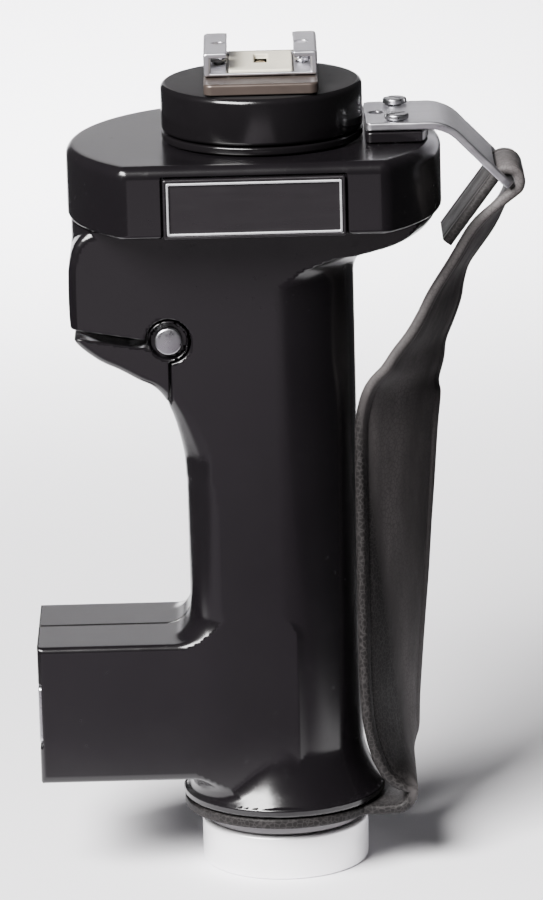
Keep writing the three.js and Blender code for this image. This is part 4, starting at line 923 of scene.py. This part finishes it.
def strap_stations():
    mid = STRAP_Z + STRAP_T / 2
    rows = [(x, mid, 0.0, STRAP_W) for x in UNDER_FOOT]
    for i in range(1, 8):
        a = math.pi / 2 * i / 8
        rows.append((STRAP_BEND_X - STRAP_BEND_R * (1 - math.sin(a)), mid + STRAP_BEND_R * (1 - math.cos(a)),
                     0.0, STRAP_W))
    out, rise = BAR_X - RIGHT, BAR_Z - mid
    points = [(STRAP_BEND_X, mid + STRAP_BEND_R, 0.0, STRAP_W)]
    for up, near, far, share in RUN:
        width = STRAP_END_W + share * (STRAP_W - STRAP_END_W)
        twist = math.asin((far - near) * out / width)
        points.append((RIGHT + (near + far) / 2 * out, mid + up * rise, twist, width))
    points.append((BAR_X + LOOP_R * math.cos(LEAN), BAR_Z - LOOP_R * math.sin(LEAN), 0.0, STRAP_END_W))
    rows += spline(points, 4)
    for i in range(1, 17):
        a = -LEAN + math.pi * i / 16
        rows.append((BAR_X + LOOP_R * math.cos(a), BAR_Z + LOOP_R * math.sin(a), 0.0, STRAP_END_W))
    x, z = rows[-1][:2]
    for i in range(1, 9):
        rows.append((x - TAIL * i / 8 * math.sin(LEAN), z - TAIL * i / 8 * math.cos(LEAN), 0.0, STRAP_END_W))
    return rows


# Section of the strap: rounded edges, and a stitch groove along each edge of the outer side
def strap_section(half, thick):
    edge, groove, groove_half, groove_deep = 0.75, 2.3, 0.45, 0.22
    outer = [(-half + edge, thick), (-half + groove - groove_half, thick),
             (-half + groove, thick - groove_deep), (-half + groove + groove_half, thick),
             (-half / 2, thick), (0, thick), (half / 2, thick), (half - groove - groove_half, thick),
             (half - groove, thick - groove_deep), (half - groove + groove_half, thick)]
    right = [(half - edge + edge * math.cos(a), thick * math.sin(a))
             for a in (math.pi / 2 - math.pi * i / 8 for i in range(9))]
    inner = [(half / 2, -thick), (0, -thick), (-half / 2, -thick), (-half + edge, -thick)]
    left = [(-half + edge - edge * math.cos(a), thick * math.sin(a))
            for a in (-math.pi / 2 + math.pi * i / 8 for i in range(1, 8))]
    return outer + right + inner + left


# Under the foot the band is a hair thinner than the washer, so that their faces don't share a plane
def make_strap():
    rows = strap_stations()
    verts = []
    for i, (x, z, twist, width) in enumerate(rows):
        before, after = rows[max(i - 1, 0)], rows[min(i + 1, len(rows) - 1)]
        along = Vector((after[0] - before[0], 0, after[1] - before[1])).normalized()
        across = Vector((math.sin(twist), math.cos(twist), 0))
        normal = across.cross(along).normalized()
        side = along.cross(normal).normalized()
        thick = STRAP_T / 2 - (0.03 if i < len(UNDER_FOOT) else 0.0)
        for u, v in strap_section(width / 2, thick):
            verts.append((Vector((x, 0, z)) + side * u + normal * v) * MM)
    faces = tube_faces(len(rows), len(verts) // len(rows))
    mesh = new_mesh("strap_band", verts, faces, 50, turn_outward=True)
    new_object("strap_band", mesh, "strap_leather", "grip", ["hand_strap"])


def washer_form(x, y, z):
    away = np.hypot(x, y)
    disc = round_off(round_off(away - WASHER_R, z - (STRAP_Z + STRAP_T), 0.5), STRAP_Z - z, 0.5)
    return np.maximum(disc, WASHER_HOLE_R - away)


make_strap()
formed("strap_washer", washer_form, (-19.6, -19.6, 11.3), (19.6, 19.6, 13.5), 0.4,
       "strap_leather", "grip", ["hand_strap"])


# Paper of the sweep: pale under and behind the object, with painted shade ahead of it and up the wall,
# where the glossy plastic mirrors it
def sweep_paper():
    n = Nodes("sweep_paper")
    place = n.axes()
    pale = n.colours(n.noise(3.0), [(0.2, (0.88, 0.87, 0.90)), (0.8, (0.90, 0.89, 0.92))])
    # Painted shade on the wall: the paper is darkened in a band above the floor, and less so higher up
    wall_lit_share = n.ramp(place["Z"], 0.32, 0.39, 0.3, 0.56)
    lit_share = n.math("ADD", wall_lit_share, n.ramp(place["Z"], 0.08, 0.2, 0.7, 0.0))
    pale = n.mix(lit_share, (0.0, 0.0, 0.0), pale)
    # Painted shade ahead of the object: dark paper in front, darkest to the right, for the glossy fronts to
    # mirror
    ahead_painted_shade = n.mix(n.ramp(place["X"], -0.03, 0.006, 0.0, 1.0), (0.12, 0.105, 0.125), (0.04, 0.03, 0.04))
    ahead_painted_shade = n.mix(n.ramp(place["Y"], -0.38, -0.44, 0.0, 1.0), ahead_painted_shade, (0.16, 0.145, 0.16))
    n.into(Base_Color=n.mix(n.ramp(place["Y"], -0.05, -0.09, 0.0, 1.0), pale, ahead_painted_shade))
    return n.set(Roughness=0.9)


# Floor that bends up into a wall, wider there
def make_stage():
    left, right, front, back, height, radius, extra = 0.15, 0.105, 0.8, 0.95, 0.9, 0.35, 0.15
    profile = [(-front, 0.0), (back - radius, 0.0)]
    profile += [(back - radius + radius * math.sin(a), radius - radius * math.cos(a))
                for a in (math.pi / 2 * i / 24 for i in range(1, 25))]
    profile.append((back, height))
    verts = []
    for y, z in profile:
        wider = extra * min(1.0, max(0.0, y - back + radius) / radius)
        verts += [(-left - wider, y, z), (right + wider, y, z)]
    faces = [(2 * i, 2 * i + 1, 2 * i + 3, 2 * i + 2) for i in range(len(profile) - 1)]
    mesh = new_mesh("sweep", verts, faces)
    mesh.materials.append(sweep_paper())
    sweep = bpy.data.objects.new("sweep", mesh)
    bpy.context.scene.collection.objects.link(sweep)


def area_light(name, place, aim, size, power, spread, colour=(1.0, 1.0, 1.0)):
    data = bpy.data.lights.new(name, "AREA")
    data.shape = "RECTANGLE"
    data.size, data.size_y = size
    data.energy = power
    data.spread = math.radians(spread)
    data.color = colour
    light = bpy.data.objects.new(name, data)
    bpy.context.scene.collection.objects.link(light)
    light.location = place
    light.rotation_euler = (Vector(aim) - Vector(place)).to_track_quat("-Z", "Y").to_euler()


make_stage()
area_light("softbox", (-0.52, -0.64, 0.79), (0.0, 0.0, 0.06), (0.6, 0.52), 62.0, 180, (1.0, 0.99, 0.98))
area_light("backdrop", (-0.12, 0.72, 0.8), (-0.06, 0.62, 0.0), (0.4, 0.3), 4.0, 50)

world = bpy.data.worlds.new("room")
bpy.context.scene.world = world
world.use_nodes = True
room = world.node_tree.nodes["Background"]
room.inputs["Color"].default_value = (0.93, 0.92, 0.96, 1.0)
room.inputs["Strength"].default_value = 0.06
